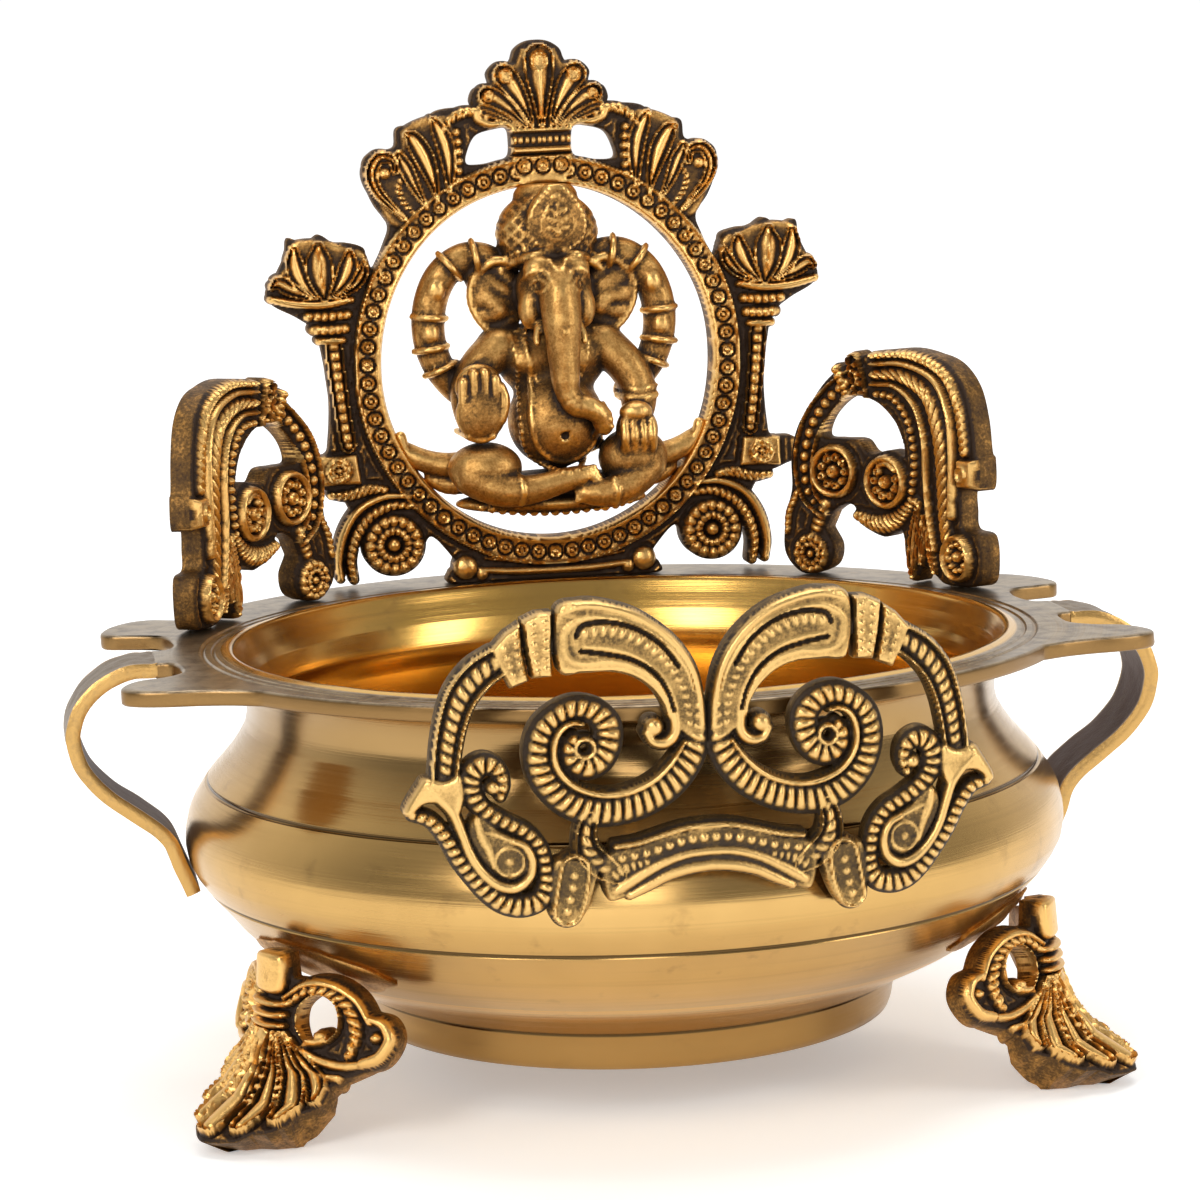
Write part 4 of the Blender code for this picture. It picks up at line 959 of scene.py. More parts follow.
def draw_wing():
    """One wing unrolled: a beaded hoop over two berry scrolls, on two feet."""
    r = Relief((30.0 * WING_ARC, -1.5), (74 * WING_ARC, 60), 0.4)

    def stroke(points, *rest, **named):
        r.stroke(arc_mm(points), *rest, **named)

    r.patch(arc_mm(WING_OUTLINE), 0.3, 1.2)
    # inner limb of the hoop with its collar
    stroke([(46.7, 50.2, 2.6), (43.4, 46, 3), (40.5, 40, 3.1), (39, 33, 3), (38.7, 26.6, 2.8), (39.4, 20.6, 2.4),
            (41.5, 16.6, 1.8)], railed(beads(3), 0.8), 2.4, 0.3)
    stroke([(47.3, 55, 1.8), (48.1, 50, 2), (48.5, 45.8, 1.7)], railed(beads(2.4), 0.5), 3, 0.3)
    stroke([(44.2, 52.4, 1.3), (45.4, 48.4, 1.5), (46.3, 44.4, 1.3)], ribs(1.6), 2.7, 0.3)
    # outer limb: beads, rail, rope of triangles, rail, rope
    stroke([(50.6, 46.8, 1.2), (54, 46, 1.5), (56.5, 41.6, 1.6), (57.8, 35, 1.6), (57.9, 28, 1.6), (57.2, 21, 1.4)],
           beads(2.2), 2.2, 0.3)
    stroke([(50.4, 49.2, 0.7), (54.8, 48.8, 0.8), (58.6, 44, 0.8), (60.2, 36, 0.8), (60.4, 27, 0.8), (60.9, 18, 0.8),
            (62.1, 9, 0.7)], plain, 2.4, None)
    stroke([(50.6, 51.6, 1.3), (55.6, 51.6, 2), (60.6, 47.4, 2.2), (62.8, 39.6, 2.3), (63.6, 31, 2.3),
            (63.9, 22, 2.2), (64.3, 14, 2), (65.2, 7.4, 1.7)], rope(2.7, 1.4), 2.6, None)
    stroke([(50.6, 54.2, 0.7), (56.6, 54.4, 0.9), (62.8, 50.8, 1), (65.8, 43, 1), (66.3, 34, 1),
            (66.1, 25, 1), (65.8, 17.6, 0.9)], plain, 2.8, None)
    stroke([(50.4, 56.2, 0.9), (57.4, 56.6, 1.2), (64.3, 52.8, 1.5), (67.5, 46, 1.6), (68.7, 38, 1.6),
            (68.9, 34, 1.5)], rope(1.9, 1), 2.6, 0.2)
    r.patch(arc_mm([(67.6, 32.2), (71.3, 32.2), (71.2, 25.2), (67.6, 25)]), 2.6, 0.8, closed_curve=False)
    r.ring(69.2 * WING_ARC, 28.7, 1.9, 0.6, 3.4)
    # berry scrolls, each ringed
    for angle, z, radius, first in ((43.6, 26.8, 5.9, 0), (52.7, 24.6, 5.9, -5)):
        r.ring(angle * WING_ARC, z, radius, 0.95, 2.9, border=0.3)
        for k in range(9 if first == 0 else 7):
            turn = pi * (k * 2 / 9 + first / 4)
            r.ring(angle * WING_ARC + 3.55 * cos(turn), z + 3.55 * sin(turn), 0.72, 0.5, 2.5, border=0.25)
        r.ring(angle * WING_ARC, z, 1.1, 0.7, 2.9, border=0.3)
        r.ball(angle * WING_ARC, z, 0.8, 2.4, None)
    stroke([(51.6, 28.6, 0.7), (53.2, 29.2, 1.1), (54.6, 27.6, 0.8)], plain, 2.8, 0.2)
    # ribbed leaf under them, neck and small rosette foot
    stroke([(47.2, 15.8, 1.4), (50.6, 14, 2.5), (54.4, 15.6, 2.6), (57.8, 20.4, 1.5)], ribs(1.5, 0.5), 2.2, 0.3)
    stroke([(42, 18.6, 1.8), (40.8, 14.4, 2), (40, 11, 1.7)], ribs(1.8), 1.6, 0.4)
    r.rosette(39.4 * WING_ARC, 5.6, 5.2, 12, 2.6, 0.1)
    stroke([(37.4, 21, 1), (36, 16, 1.1), (35.6, 11, 1)], ribs(1.7, 0.5), 1.8, 0.3)
    # leaf foot and the beaded scroll foot
    for points in ([(58.8, 20, 0.8), (57.8, 12, 1.6), (57.4, 5, 1.5), (57.4, 1.2, 0.8)],
                   [(59.8, 17, 0.7), (59.4, 10, 1.2), (59.2, 5.4, 1)],
                   [(60.6, 14, 0.7), (61.1, 8, 1.1), (61.9, 3.4, 0.9)]):
        stroke(points, railed(plain, 0.6, 0.3), 2, 0.2)
    r.ring(67.2 * WING_ARC, 7.6, 5.2, 0.8, 3.2, plain, 0.3)
    r.ring(67.0 * WING_ARC, 7.8, 3.3, 1, 2.6, beads(2), 0.3)
    r.ball(66.9 * WING_ARC, 8, 1.6, 3, None)
    r.hole(arc_mm(WING_OPENING))
    r.echo()
    return r


# ---------------------------------------------------------------- the legs

LEG_ANGLES = {"left": -60, "right": 60, "back": 180.0}
LEG_THICKNESS = 4.0
FOOT_EXTRA = 8.0          # how much thicker the foot is, behind
LEG_FOLD = radians(28)    # each half is folded back this far from the spine
FOOT_SLOPE = (0.857, -0.514)
PAD_POINTS, PAD_HALF_ANGLE, PAD_LEVELS = 61, radians(15.5), (-68.6, -57.0)
LEG_HALF = [(0, 0), (3.6, 0.5), (4.6, 6), (10, 6.2), (17, 7.3), (23, 11.6), (27.5, 14.4), (30.3, 18.5),
            (29.8, 23), (25.5, 25.8), (21, 28), (18.6, 30.6), (19.2, 34), (17, 37), (15, 38.2),
            (15.4, 41.2), (12.8, 44.2), (9.6, 45), (7.8, 47.6), (4, 48.4), (0, 48.8)]
LEG_LOOP = [(11.2, 9.6), (15.2, 11.4), (16.4, 15.6), (14.6, 19.4), (10.6, 20.2), (7.6, 17), (7.6, 12.4)]
LEG_SPINE = np.array([(97.6, -57.2), (98.3, -66), (99.8, -75), (103.3, -83.5), (109, -90.8), (118, -96.2)])
GROUND = -99.0


def leg_surface(angle):
    """Where a point of a leg's drawing lies: down a curved spine, folded along it, out to the ground."""
    run = running(LEG_SPINE)
    fine = np.linspace(-2, run[-1] + 14, 200)
    r = np.interp(fine, run, LEG_SPINE[:, 0]) + np.maximum(fine - run[-1], 0) * FOOT_SLOPE[0]
    z = np.interp(fine, run, LEG_SPINE[:, 1]) + np.maximum(fine - run[-1], 0) * FOOT_SLOPE[1]
    for _ in range(12):
        r[1:-1], z[1:-1] = (r[:-2] + 2 * r[1:-1] + r[2:]) / 4, (z[:-2] + 2 * z[1:-1] + z[2:]) / 4
    dr, dz = np.gradient(r, fine), np.gradient(z, fine)
    length = np.hypot(dr, dz)
    turn = radians(angle - 90)

    def surface(u, v, depth):
        depth = np.where(depth < 0, depth - FOOT_EXTRA * np.clip((v - 28) / 14, 0, 1), depth)
        nr, nz = (np.interp(v, fine, a) for a in (-dz / length, dr / length))
        fold = LEG_FOLD * np.minimum(1, 1.6 - v / 60)
        side = np.sqrt(u * u + 1.2) - 1.0
        swing = u / np.sqrt(u * u + 1.2)
        radius = np.interp(v, fine, r) - side * np.sin(fold) + depth * nr * np.cos(fold)
        across = u * np.cos(fold) + swing * depth * np.sin(fold)
        height = np.maximum(np.interp(v, fine, z) + depth * nz, GROUND)
        return np.column_stack([radius * cos(turn) - across * sin(turn),
                                radius * sin(turn) + across * cos(turn), height])
    return surface


def draw_leg():
    """The right half of a leg's sheet: an arched loop over a fan of leaves; mirrored for the left."""
    r = Relief((0, -1.5), (33, 50.5), 0.36)
    r.patch(LEG_HALF + [(-u, v) for u, v in LEG_HALF[-2:0:-1]], 0, closed_curve=False)
    r.patch([(-3, 0.6), (3, 0.6), (3.8, 5), (2.6, 9.6), (-2.6, 9.6), (-3.8, 5)], 2.8, 1.6)
    for v in (11.8, 14.2, 16.6):
        r.stroke([(-3.6, v, 0.85), (0, v + 0.3, 0.95), (3.6, v, 0.85)], plain, 3, 0.3)
    r.stroke([(3.2, 10.4, 0.7), (8, 6.9, 0.9), (14.4, 6.7, 1), (20.4, 9.8, 1), (24.2, 14.6, 0.8)], plain, 2.3, 0.4)
    r.stroke([(4.4, 11.6, 0.9), (9, 8.3, 1.2), (14.8, 8.9, 1.5), (19, 12, 1.7), (21, 17, 1.7), (20.8, 22.6, 1.3)],
             rope(2.2, 0.6), 2.6, 0.3)
    r.stroke([(u, v, 1) for u, v in LEG_LOOP], plain, 2.6, 0.1, closed=True)
    r.stroke([(24, 13.6, 0.9), (27.6, 14.9, 1.4), (29.2, 18.4, 1.6), (27.8, 22.4, 1.7), (24.4, 24, 1.4)], plain, 2.4,
             0.3)
    r.ball(26, 18, 1.7, 2.4, None)
    r.stroke([(9.5, 22.4, 0.8), (14, 24.2, 1.1), (19.4, 25, 1.2), (24.6, 24.2, 1)], plain, 1.9, 0.3)
    r.stroke([(10.6, 25.4, 0.7), (15, 28, 1), (19.6, 28.4, 1.1)], plain, 1.6, 0.3)
    leaf = railed(plain, 0.7, 0.3)
    for points in ([(0, 18.6, 0.8), (0, 26, 1.3), (0, 33, 1.9), (0, 40, 2.5), (0, 45.6, 2.2)],
                   [(1.9, 18.8, 0.8), (3.6, 26, 1.5), (5.4, 33, 2.3), (6.4, 39.4, 2.9), (6.3, 44.2, 2.2)],
                   [(3.2, 18.8, 0.8), (6.8, 25, 1.7), (10.2, 30.6, 2.6), (12.4, 36, 2.9), (12.4, 40.6, 2.1)],
                   [(4.2, 18.6, 0.7), (8.6, 23.2, 1.4), (13.2, 27.4, 2.1), (16.2, 31.2, 2.3), (16.9, 34, 1.6)]):
        r.stroke(points, leaf, 2.6, 0.3)
    r.stroke([(1.4, 24, 0.5), (2.6, 31, 0.9), (3.2, 38, 1.1)], beads(2.4), 2.7, None)
    r.stroke([(4.8, 25, 0.5), (7.6, 31, 0.9), (9.4, 37, 1.1)], beads(2.2), 2.6, None)
    r.hole(LEG_LOOP)
    r.ball(12.8, 18.6, 1.9, 2.6, 0.2)
    r.stroke([(9.4, 21, 0.9), (11.6, 20.4, 1.2), (13.4, 20.2, 1.2)], plain, 1.6, 0.3)
    r.echo()
    r.mirror()
    return r


def make_leg_pad(name, angle, material):
    """The rough smear of brazing that holds a leg's top to the belly."""
    wall = spline([p for p in BOWL_OUTSIDE if -72 < p[1] < -50])
    wall = wall[(wall[:, 1] > PAD_LEVELS[0]) & (wall[:, 1] < PAD_LEVELS[1])]
    middle, reach = wall[:, 1].mean(), np.ptp(wall[:, 1]) / 2
    share = np.linspace(-1, 1, PAD_POINTS)
    rows = []
    for r, z in wall:
        uneven = 1 + 0.12 * ripple(z * 1.3, angle * 0.1)
        across = np.sqrt(np.maximum(1 - ((z - middle) / reach) ** 2, 0.12)) * uneven
        turn = PAD_HALF_ANGLE * share * across + radians(angle - 90)
        proud = 0.5 + (1.0 + 0.35 * ripple(share * 9, z * 1.1)) * dome(0.97 * np.abs(share)) * across
        rows.append((r, z, turn, proud))
    sunk = [(r, z, turn, -0.3) for r, z, turn, _ in rows[::-1]]
    rings = [np.column_stack([(r + out) * np.cos(turn), (r + out) * np.sin(turn), np.full(PAD_POINTS, z)])
             for r, z, turn, out in rows + sunk]
    co = np.vstack(rings)
    count, n = len(share), len(rings)
    faces = []
    for k in range(n):
        j = (k + 1) % n
        faces += [[k * count + i, k * count + i + 1, j * count + i + 1, j * count + i] for i in range(count - 1)]
    for i, way in ((0, 1), (count - 1, -1)):
        for k in range(n // 2 - 1):
            faces.append([k * count + i, (k + 1) * count + i, (n - 2 - k) * count + i,
                          (n - 1 - k) * count + i][::way])
    return make_mesh(name, co, faces, material, np.full(len(co), 0.52))


def join(objects):
    """Join meshes into the first one."""
    bpy.ops.object.select_all(action="DESELECT")
    for obj in objects:
        obj.select_set(True)
    bpy.context.view_layer.objects.active = objects[0]
    bpy.ops.object.join()
    return objects[0]


# ---------------------------------------------------------------- the seated figure

FIGURE_STEP = 0.5
FIGURE_BACK = 98.6        # where its flat back lies, on the panel's own
HEAD_X = 1.0              # the head's middle, a little to the viewer's right


class Volume:
    """A solid as signed distances on a grid of points, negative inside; x right, y back, z up, in mm."""

    def __init__(self, low, high, step):
        self.low, self.step = np.array(low, float), step
        axes = [np.arange(a, b + step / 2, step) for a, b in zip(low, high)]
        self.p = np.meshgrid(*axes, indexing="ij")
        self.d = np.full(self.p[0].shape, 20.0)

    def window(self, low, high):
        a = np.floor((np.array(low) - self.low) / self.step).astype(int)
        b = np.ceil((np.array(high) - self.low) / self.step).astype(int) + 1
        return tuple(slice(max(i, 0), max(j, 0)) for i, j in zip(a, b))

    def union(self, window, shape, blend):
        d = self.d[window]
        if blend > 0:
            h = np.clip(0.5 + 0.5 * (d - shape) / blend, 0, 1)
            self.d[window] = d + (shape - d) * h - blend * h * (1 - h)
        else:
            self.d[window] = np.minimum(d, shape)

    def mass(self, centre, radii, blend=1.5, tilt=0.0, pattern=None):
        """An ellipsoid, tilted in the XZ plane by degrees; a pattern of (x, z) raises its surface."""
        reach = max(radii) + blend + 2
        w = self.window(np.array(centre) - reach, np.array(centre) + reach)
        x, y, z = (p[w] - c for p, c in zip(self.p, centre))
        c, s = cos(radians(tilt)), sin(radians(tilt))
        x, z = x * c + z * s, z * c - x * s
        a, b, e = radii
        k0 = np.sqrt((x / a) ** 2 + (y / b) ** 2 + (z / e) ** 2)
        k1 = np.sqrt((x / a ** 2) ** 2 + (y / b ** 2) ** 2 + (z / e ** 2) ** 2) + 1e-6
        shape = k0 * (k0 - 1) / k1
        if pattern is not None:
            shape = shape - pattern(x, y, z)
        self.union(w, shape, blend)

    def limb(self, points, blend=1.0, rings=None):
        """A tapering round limb through (x, y, z, radius); rings=(pitch, height) bands it."""
        path = spline(points, steps=4) if len(points) > 2 else np.array(points, float)
        run = 0.0
        for a, b in zip(path, path[1:]):
            d = b[:3] - a[:3]
            length = float(np.linalg.norm(d))
            if length < 1e-6:
                continue
            reach = max(a[3], b[3]) + blend + 1.5
            w = self.window(np.minimum(a[:3], b[:3]) - reach, np.maximum(a[:3], b[:3]) + reach)
            x, y, z = (p[w] - c for p, c in zip(self.p, a[:3]))
            t = np.clip((x * d[0] + y * d[1] + z * d[2]) / length ** 2, 0, 1)
            shape = np.sqrt((x - t * d[0]) ** 2 + (y - t * d[1]) ** 2 + (z - t * d[2]) ** 2)
            shape = shape - (a[3] + t * (b[3] - a[3]))
            if rings:
                shape = shape - rings[1] * np.abs(np.cos(pi * (run + t * length) / rings[0]))
            self.union(w, shape, blend)
            run += length

    def front(self, x, z):
        """How far forward the surface is at (x, z)."""
        i, k = (int(round((value - low) / self.step)) for value, low in ((x, self.low[0]), (z, self.low[2])))
        column = self.d[i, :, k]
        hits = np.nonzero(column < 0)[0]
        return self.low[1] + self.step * hits[0] if len(hits) else FIGURE_BACK - 3

    def laid(self, points, proud=0.2):
        """Points of (x, z, radius) laid on the surface as (x, y, z, radius)."""
        path = spline(points, steps=6)
        fronts = np.array([self.front(x, z) for x, z, _ in path])
        kernel = np.ones(3) / 3
        fronts = np.convolve(np.pad(fronts, 1, "edge"), kernel, "valid")
        return np.column_stack([path[:, 0], fronts + proud, path[:, 1], path[:, 2]])

    def cord(self, points, proud=0.2, blend=0.2):
        """A raised cord on the surface."""
        self.limb(self.laid(points, proud), blend)

    def beads(self, points, pitch, proud=0.1):
        """A row of beads on the surface."""
        path = self.laid(points, proud)
        run = running(path[:, :3])
        for at in np.arange(pitch / 2, run[-1], pitch):
            x, y, z, radius = (np.interp(at, run, path[:, k]) for k in range(4))
            self.mass((x, y, z), (radius,) * 3, 0.15)

    def close_pinches(self):
        """Drop loose samples and fill gaps and chequered corners, so that every edge has two faces."""
        inside = self.d < 0
        near = sum(np.roll(inside, step, axis).astype(int) for axis in range(3) for step in (-1, 1))
        self.d[inside & (near == 0)] = 0.05
        self.d[~inside & (near == 6)] = -0.05
        for axis in (0, 1, 2) * 3:
            u, v = [n for n in range(3) if n != axis]
            views = []
            for du, dv in ((0, 0), (1, 1), (1, 0), (0, 1)):
                cut = [slice(None)] * 3
                cut[u] = slice(du, self.d.shape[u] - 1 + du)
                cut[v] = slice(dv, self.d.shape[v] - 1 + dv)
                views.append(self.d[tuple(cut)])
            a, b, c, e = (view < 0 for view in views)
            pinch = (a == b) & (c == e) & (a != c)
            for view in views:
                view[pinch] = np.minimum(view[pinch], -0.05)

    def mesh(self):
        """Surface nets: one point in each cell the surface crosses, and a quad over each crossed edge."""
        self.close_pinches()
        d, step = self.d, self.step
        shape = tuple(n - 1 for n in d.shape)
        total, weight = np.zeros(shape + (3,)), np.zeros(shape)
        corners = [(i, j, k) for i in (0, 1) for j in (0, 1) for k in (0, 1)]

        def part(c):
            return d[c[0]:c[0] + shape[0], c[1]:c[1] + shape[1], c[2]:c[2] + shape[2]]

        for a in corners:
            for axis in range(3):
                if a[axis]:
                    continue
                b = tuple(v + (n == axis) for n, v in enumerate(a))
                da, db = part(a), part(b)
                cross = (da < 0) != (db < 0)
                t = np.where(cross, da / np.where(cross, da - db, 1), 0)
                for n in range(3):
                    total[..., n] += cross * (a[n] + t * (n == axis))
                weight += cross
        used = weight > 0
        index = np.full(shape, -1)
        index[used] = np.arange(used.sum())
        cell = np.stack(np.nonzero(used), -1)
        co = self.low + step * (cell + total[used] / weight[used][:, None])
        faces = []
        inside = d < 0
        for axis in range(3):
            ahead = [slice(1, -1)] * 3
            ahead[axis] = slice(0, -1)
            after = [slice(1, -1)] * 3
            after[axis] = slice(1, None)
            a, b = inside[tuple(ahead)], inside[tuple(after)]
            for flip, cross in ((False, a & ~b), (True, ~a & b)):
                at = np.stack(np.nonzero(cross), -1)
                at += [0 if n == axis else 1 for n in range(3)]
                u, v = [n for n in range(3) if n != axis]
                ring = []
                for du, dv in ((0, 0), (-1, 0), (-1, -1), (0, -1)):
                    c = at.copy()
                    c[:, u] += du
                    c[:, v] += dv
                    ring.append(index[c[:, 0], c[:, 1], c[:, 2]])
                quad = np.column_stack(ring)
                if flip != (axis == 1):
                    quad = quad[:, ::-1]
                faces.append(quad)
        return co, np.vstack(faces)

    def wear(self, co):
        """How proud each surface point stands, from the distances blurred round it."""
        soft = self.d.clip(-3, 3)
        wide = soft
        for pass_ in range(9):
            for axis in range(3):
                wide = (np.roll(wide, 1, axis) + wide * 2 + np.roll(wide, -1, axis)) / 4
            if pass_ == 2:
                near = wide
        cell = np.clip(((co - self.low) / self.step).round().astype(int), 0, np.array(self.d.shape) - 1)
        at = tuple(cell.T)
        return np.clip(0.40 + 1.4 * (near[at] - soft[at]) + 1.0 * (wide[at] - near[at]), 0, 1)


def crosshatch(x, y, z):
    """Raised lattice of the crown."""
    return 0.32 * np.maximum(np.abs(np.cos(0.95 * (x + z))), np.abs(np.cos(0.95 * (x - z)))) ** 5


def ear_folds(side):
    """Folds that radiate over an ear."""
    def pattern(x, y, z):
        turn = np.arctan2(z + 4, side * x + 9)
        return 0.55 * np.abs(np.cos(9 * turn)) ** 0.8 * np.clip((np.hypot(x + side * 9, z + 4) - 4) / 6, 0, 1)
    return pattern


def make_figure(material):
    """The elephant-headed figure, seated cross-legged in the ring."""
    v = Volume((-46, 70, 13), (46, 100.5, 105), FIGURE_STEP)
    # seat with its sashes out to the ring
    v.mass((-1, 90.5, 21), (24.5, 10.5, 3), 0.8)
    v.mass((-1, 90.5, 25.4), (20, 9, 3.4), 1.5)
    for s, end in ((-1, (-41, 36.4)), (1, (41, 36.6))):
        v.limb([(s * 17, 93, 33, 3), (s * 24, 93.6, 30.6, 3), (s * 32, 94.4, 31.8, 2.7),
                (end[0], 95.2, end[1], 2.3)], 1)
        v.limb([(s * 19, 94, 27, 2.6), (s * 26, 94.6, 25.6, 2.2), (s * 31, 95, 27.6, 1.4)], 1, (1.6, 0.3))
        v.limb([(s * 37.2, 93.6, 33, 1.5), (s * 38.4, 93.6, 38.4, 1.5)], 0.4)
    # body
    v.mass((0.6, 88.6, 41.5), (12.2, 10.8, 12), 2)
    v.mass((0.4, 91.5, 57), (14, 7.6, 10.5), 3)
    for s in (-1, 1):
        v.mass((s * 12.6, 90.6, 60.4), (6.2, 5.6, 5.4), 2.5)
        v.mass((s * 5.6, 86.8, 57.2), (5, 3.4, 3.8), 2)
    # rear arms, which loop up beside the head
    for s, x0 in ((-1, 0), (1, -2.2)):
        loop = [(10, 93.6, 79), (15.6, 92.6, 82.6), (21.6, 92, 82.6), (27, 91.6, 78.4), (30, 91.4, 71.6),
                (30.6, 91.4, 64), (28.8, 91.6, 57), (25.2, 92, 51.4), (21.5, 92, 48)]
        radii = (3, 3.5, 3.7, 3.9, 4, 3.9, 3.7, 3.4, 3.2)
        v.limb([(s * (x + x0), y, z, r) for (x, y, z), r in zip(loop, radii)], 0.8)
        for x, z, turn in ((18.4, 83, 80), (24.8, 81, 50), (30.4, 68.4, 5), (30.2, 60.6, -8), (28, 55.4, -22)):
            x = s * (x + x0)
            dx, dz = 4.3 * cos(radians(turn)), 4.3 * sin(radians(turn)) * s
            v.limb([(x + dx * k, y, z + dz * k, r) for k, y, r in
                    ((-1, 90.6, 0.8), (-0.6, 88, 0.8), (0, 86.9, 0.85), (0.6, 88, 0.8), (1, 90.6, 0.8))], 0.2)
        for x, z in ((28.6, 75.4), (30.4, 64.5)):
            v.mass((s * (x + x0), 88, z), (2.2, 1.6, 2.8), 0.5)
        v.limb([(s * 13, 90, 70, 3), (s * 17, 91.4, 76, 3), (s * 19, 92, 80, 2.6)], 0.8)
    # head, forehead, ears
    v.mass((1, 88, 74.5), (9.6, 9, 9.6), 1.5)
    for s in (-1, 1):
        v.mass((HEAD_X + s * 4, 82.4, 79.6), (4.4, 3.4, 4), 1.6)
        v.mass((HEAD_X + s * 6.6, 83.6, 70), (3.2, 3.6, 5.2), 1.6)
        v.mass((HEAD_X + s * 14, 90.6, 72.6), (6.8, 2.6, 9), 0.6, s * -10, ear_folds(s))
        v.limb([(HEAD_X + s * 9, 88.4, 81, 1), (HEAD_X + s * 14.6, 88.6, 82, 1.2), (HEAD_X + s * 19.6, 89.4, 78, 1.2),
                (HEAD_X + s * 20.6, 90, 71.6, 1.1), (HEAD_X + s * 17.4, 89.6, 65.6, 1),
                (HEAD_X + s * 12, 88.6, 62.6, 0.9)], 0.4)
    # trunk, curling to the viewer's right
    v.limb([(1.1, 80.6, 77, 4.3), (1.2, 78.6, 72, 4.4), (1.3, 77.4, 66.5, 4.1), (1.4, 77.2, 61, 3.6),
            (1.6, 77.4, 55.5, 3.1), (1.8, 77.6, 50.5, 2.8)], 1.6)
    v.limb([(1.6, 77.2, 58.6, 3.1), (1.7, 77.4, 54, 2.9), (2.1, 77.5, 49.6, 2.7), (4, 77.2, 46.2, 2.6),
            (7.4, 77, 45.2, 2.5), (10.2, 77.4, 43.2, 2.3), (11.2, 78.4, 40.2, 2.1)], 0.6, (1.7, 0.28))
    v.mass((1.35, 74, 64.6), (2.7, 1, 2.7), 0.3)
    v.mass((1.35, 73.2, 64.6), (1.1, 0.9, 1.1), 0.2)
    # crown: lattice dome, brim, teardrop plate with a leaf
    v.mass((0.2, 91, 88.5), (12.8, 9, 10.4), 0.8, 0, crosshatch)
    v.mass((0.4, 93, 97.5), (8.2, 5.6, 4.6), 1)
    v.cord([(-11.8, 79.6, 1.1), (-7, 82.4, 1.3), (1, 83.6, 1.3), (8.8, 82.2, 1.3), (13.4, 79.2, 1.1)], 0.4)
    v.beads([(-11.4, 82, 1), (-6.6, 84.8, 1.05), (1, 86, 1.05), (8.4, 84.6, 1.05), (12.8, 81.6, 1)], 2.1, 0.3)
    v.mass((1.6, 83.6, 91.6), (7.6, 3, 8.4), 0.6)
    v.mass((1.6, 83.8, 96), (4.6, 2.6, 6), 0.8)
    rim = [(1.6, 101.2), (5.6, 97.6), (8.4, 92.4), (7.6, 87), (1.6, 84.4), (-4.4, 87), (-5.2, 92.4), (-2.4, 97.6),
           (1.6, 101.2)]
    v.beads([(x, z, 0.72) for x, z in rim], 1.45, 0)
    leaf = [(1.6, 98.4), (4.8, 93.6), (5.4, 89.6), (1.6, 87), (-2.2, 89.6), (-1.6, 93.6), (1.6, 98.4)]
    v.cord([(x, z, 0.45) for x, z in leaf], 0)
    v.cord([(1.6, 88, 0.45), (1.6, 92.4, 0.5), (1.6, 96.4, 0.4)], 0)
    for s in (-1, 1):
        for z in (89, 91.2, 93.4):
            v.cord([(1.6, z, 0.35), (1.6 + s * 1.5, z + 1.1, 0.4), (1.6 + s * 2.6, z + 1.2, 0.35)], 0)
        # brows, lids and eyes; forehead mark
        v.cord([(HEAD_X + s * 1.6, 76.4, 0.5), (HEAD_X + s * 3.8, 79.6, 0.75), (HEAD_X + s * 7, 79.2, 0.65),
                (HEAD_X + s * 8.6, 76.6, 0.45)], 0.3)
        v.cord([(HEAD_X + s * 2.9, 76, 0.4), (HEAD_X + s * 4.9, 77.6, 0.5), (HEAD_X + s * 6.9, 75.8, 0.4)], 0.1)
        v.cord([(HEAD_X + s * 2.9, 75.8, 0.35), (HEAD_X + s * 4.9, 74.3, 0.45), (HEAD_X + s * 6.9, 75.6, 0.35)], 0.1)
        v.mass((HEAD_X + s * 4.9, v.front(HEAD_X + s * 4.9, 75.9) + 0.5, 75.9), (1, 0.9, 0.9), 0)
        v.cord([(1.1 + s * 0.7, 79, 0.4), (1.1 + s * 2, 82.2, 0.5)], 0.2)
        # tusks
        v.limb([(HEAD_X + s * 4.6, 81.6, 66.4, 1.3), (HEAD_X + s * 5.8, 79.4, 63.4, 1),
                (HEAD_X + s * 6, 78.4, 61.6, 0.7)], 0.3)
    # raised palm and its arm, at the viewer's left
    v.limb([(-13.4, 90, 60, 4.8), (-18.6, 88.6, 55.4, 4.6), (-21.6, 87.4, 49, 4.2), (-20.6, 86, 42, 4)], 1)
    v.mass((-19.4, 81.4, 44.4), (6.3, 3, 6.8), 1)
    v.mass((-19.6, 82.2, 51.4), (6, 2.4, 5.6), 1)
    for k, tip in enumerate((54.2, 56.2, 56.4, 54.6)):
        x = -23.8 + 2.75 * k
        v.limb([(x, 80.6, 47.6, 1.25), (x + 0.1, 80.3, tip - 1.6, 1.3)], 0.25)
    v.limb([(-14.4, 81, 43, 1.5), (-13.4, 80.8, 47.6, 1.4), (-14.2, 80.8, 51.2, 1.2)], 0.4)
    v.cord([(-24.4, 39.6, 0.8), (-19.6, 38, 0.9), (-14.8, 39.6, 0.8)], 0.2)
    # resting hand at the right, holding a sweet
    v.limb([(13.6, 90, 60, 4.8), (18.6, 88.6, 55, 4.6), (21.6, 87, 49, 4.3), (21.2, 84.6, 43.6, 4)], 1)
    v.mass((20, 81, 38.6), (5.4, 3.6, 6.2), 1)
    for k in range(4):
        x = 16.4 + 2.3 * k
        v.limb([(x, 78.2, 41, 1.15), (x, 77.2, 37.6, 1.2), (x + 0.2, 78, 34.6, 1.05)], 0.25)
    v.mass((19.6, 79.6, 43.4), (4.2, 3, 2.8), 0.5)
    v.cord([(16.6, 47, 0.9), (21.2, 46.4, 1), (25.6, 47.2, 0.9)], 0.3)
    v.cord([(16.4, 49.2, 0.6), (21.4, 48.8, 0.7), (26, 49.4, 0.6)], 0.2)
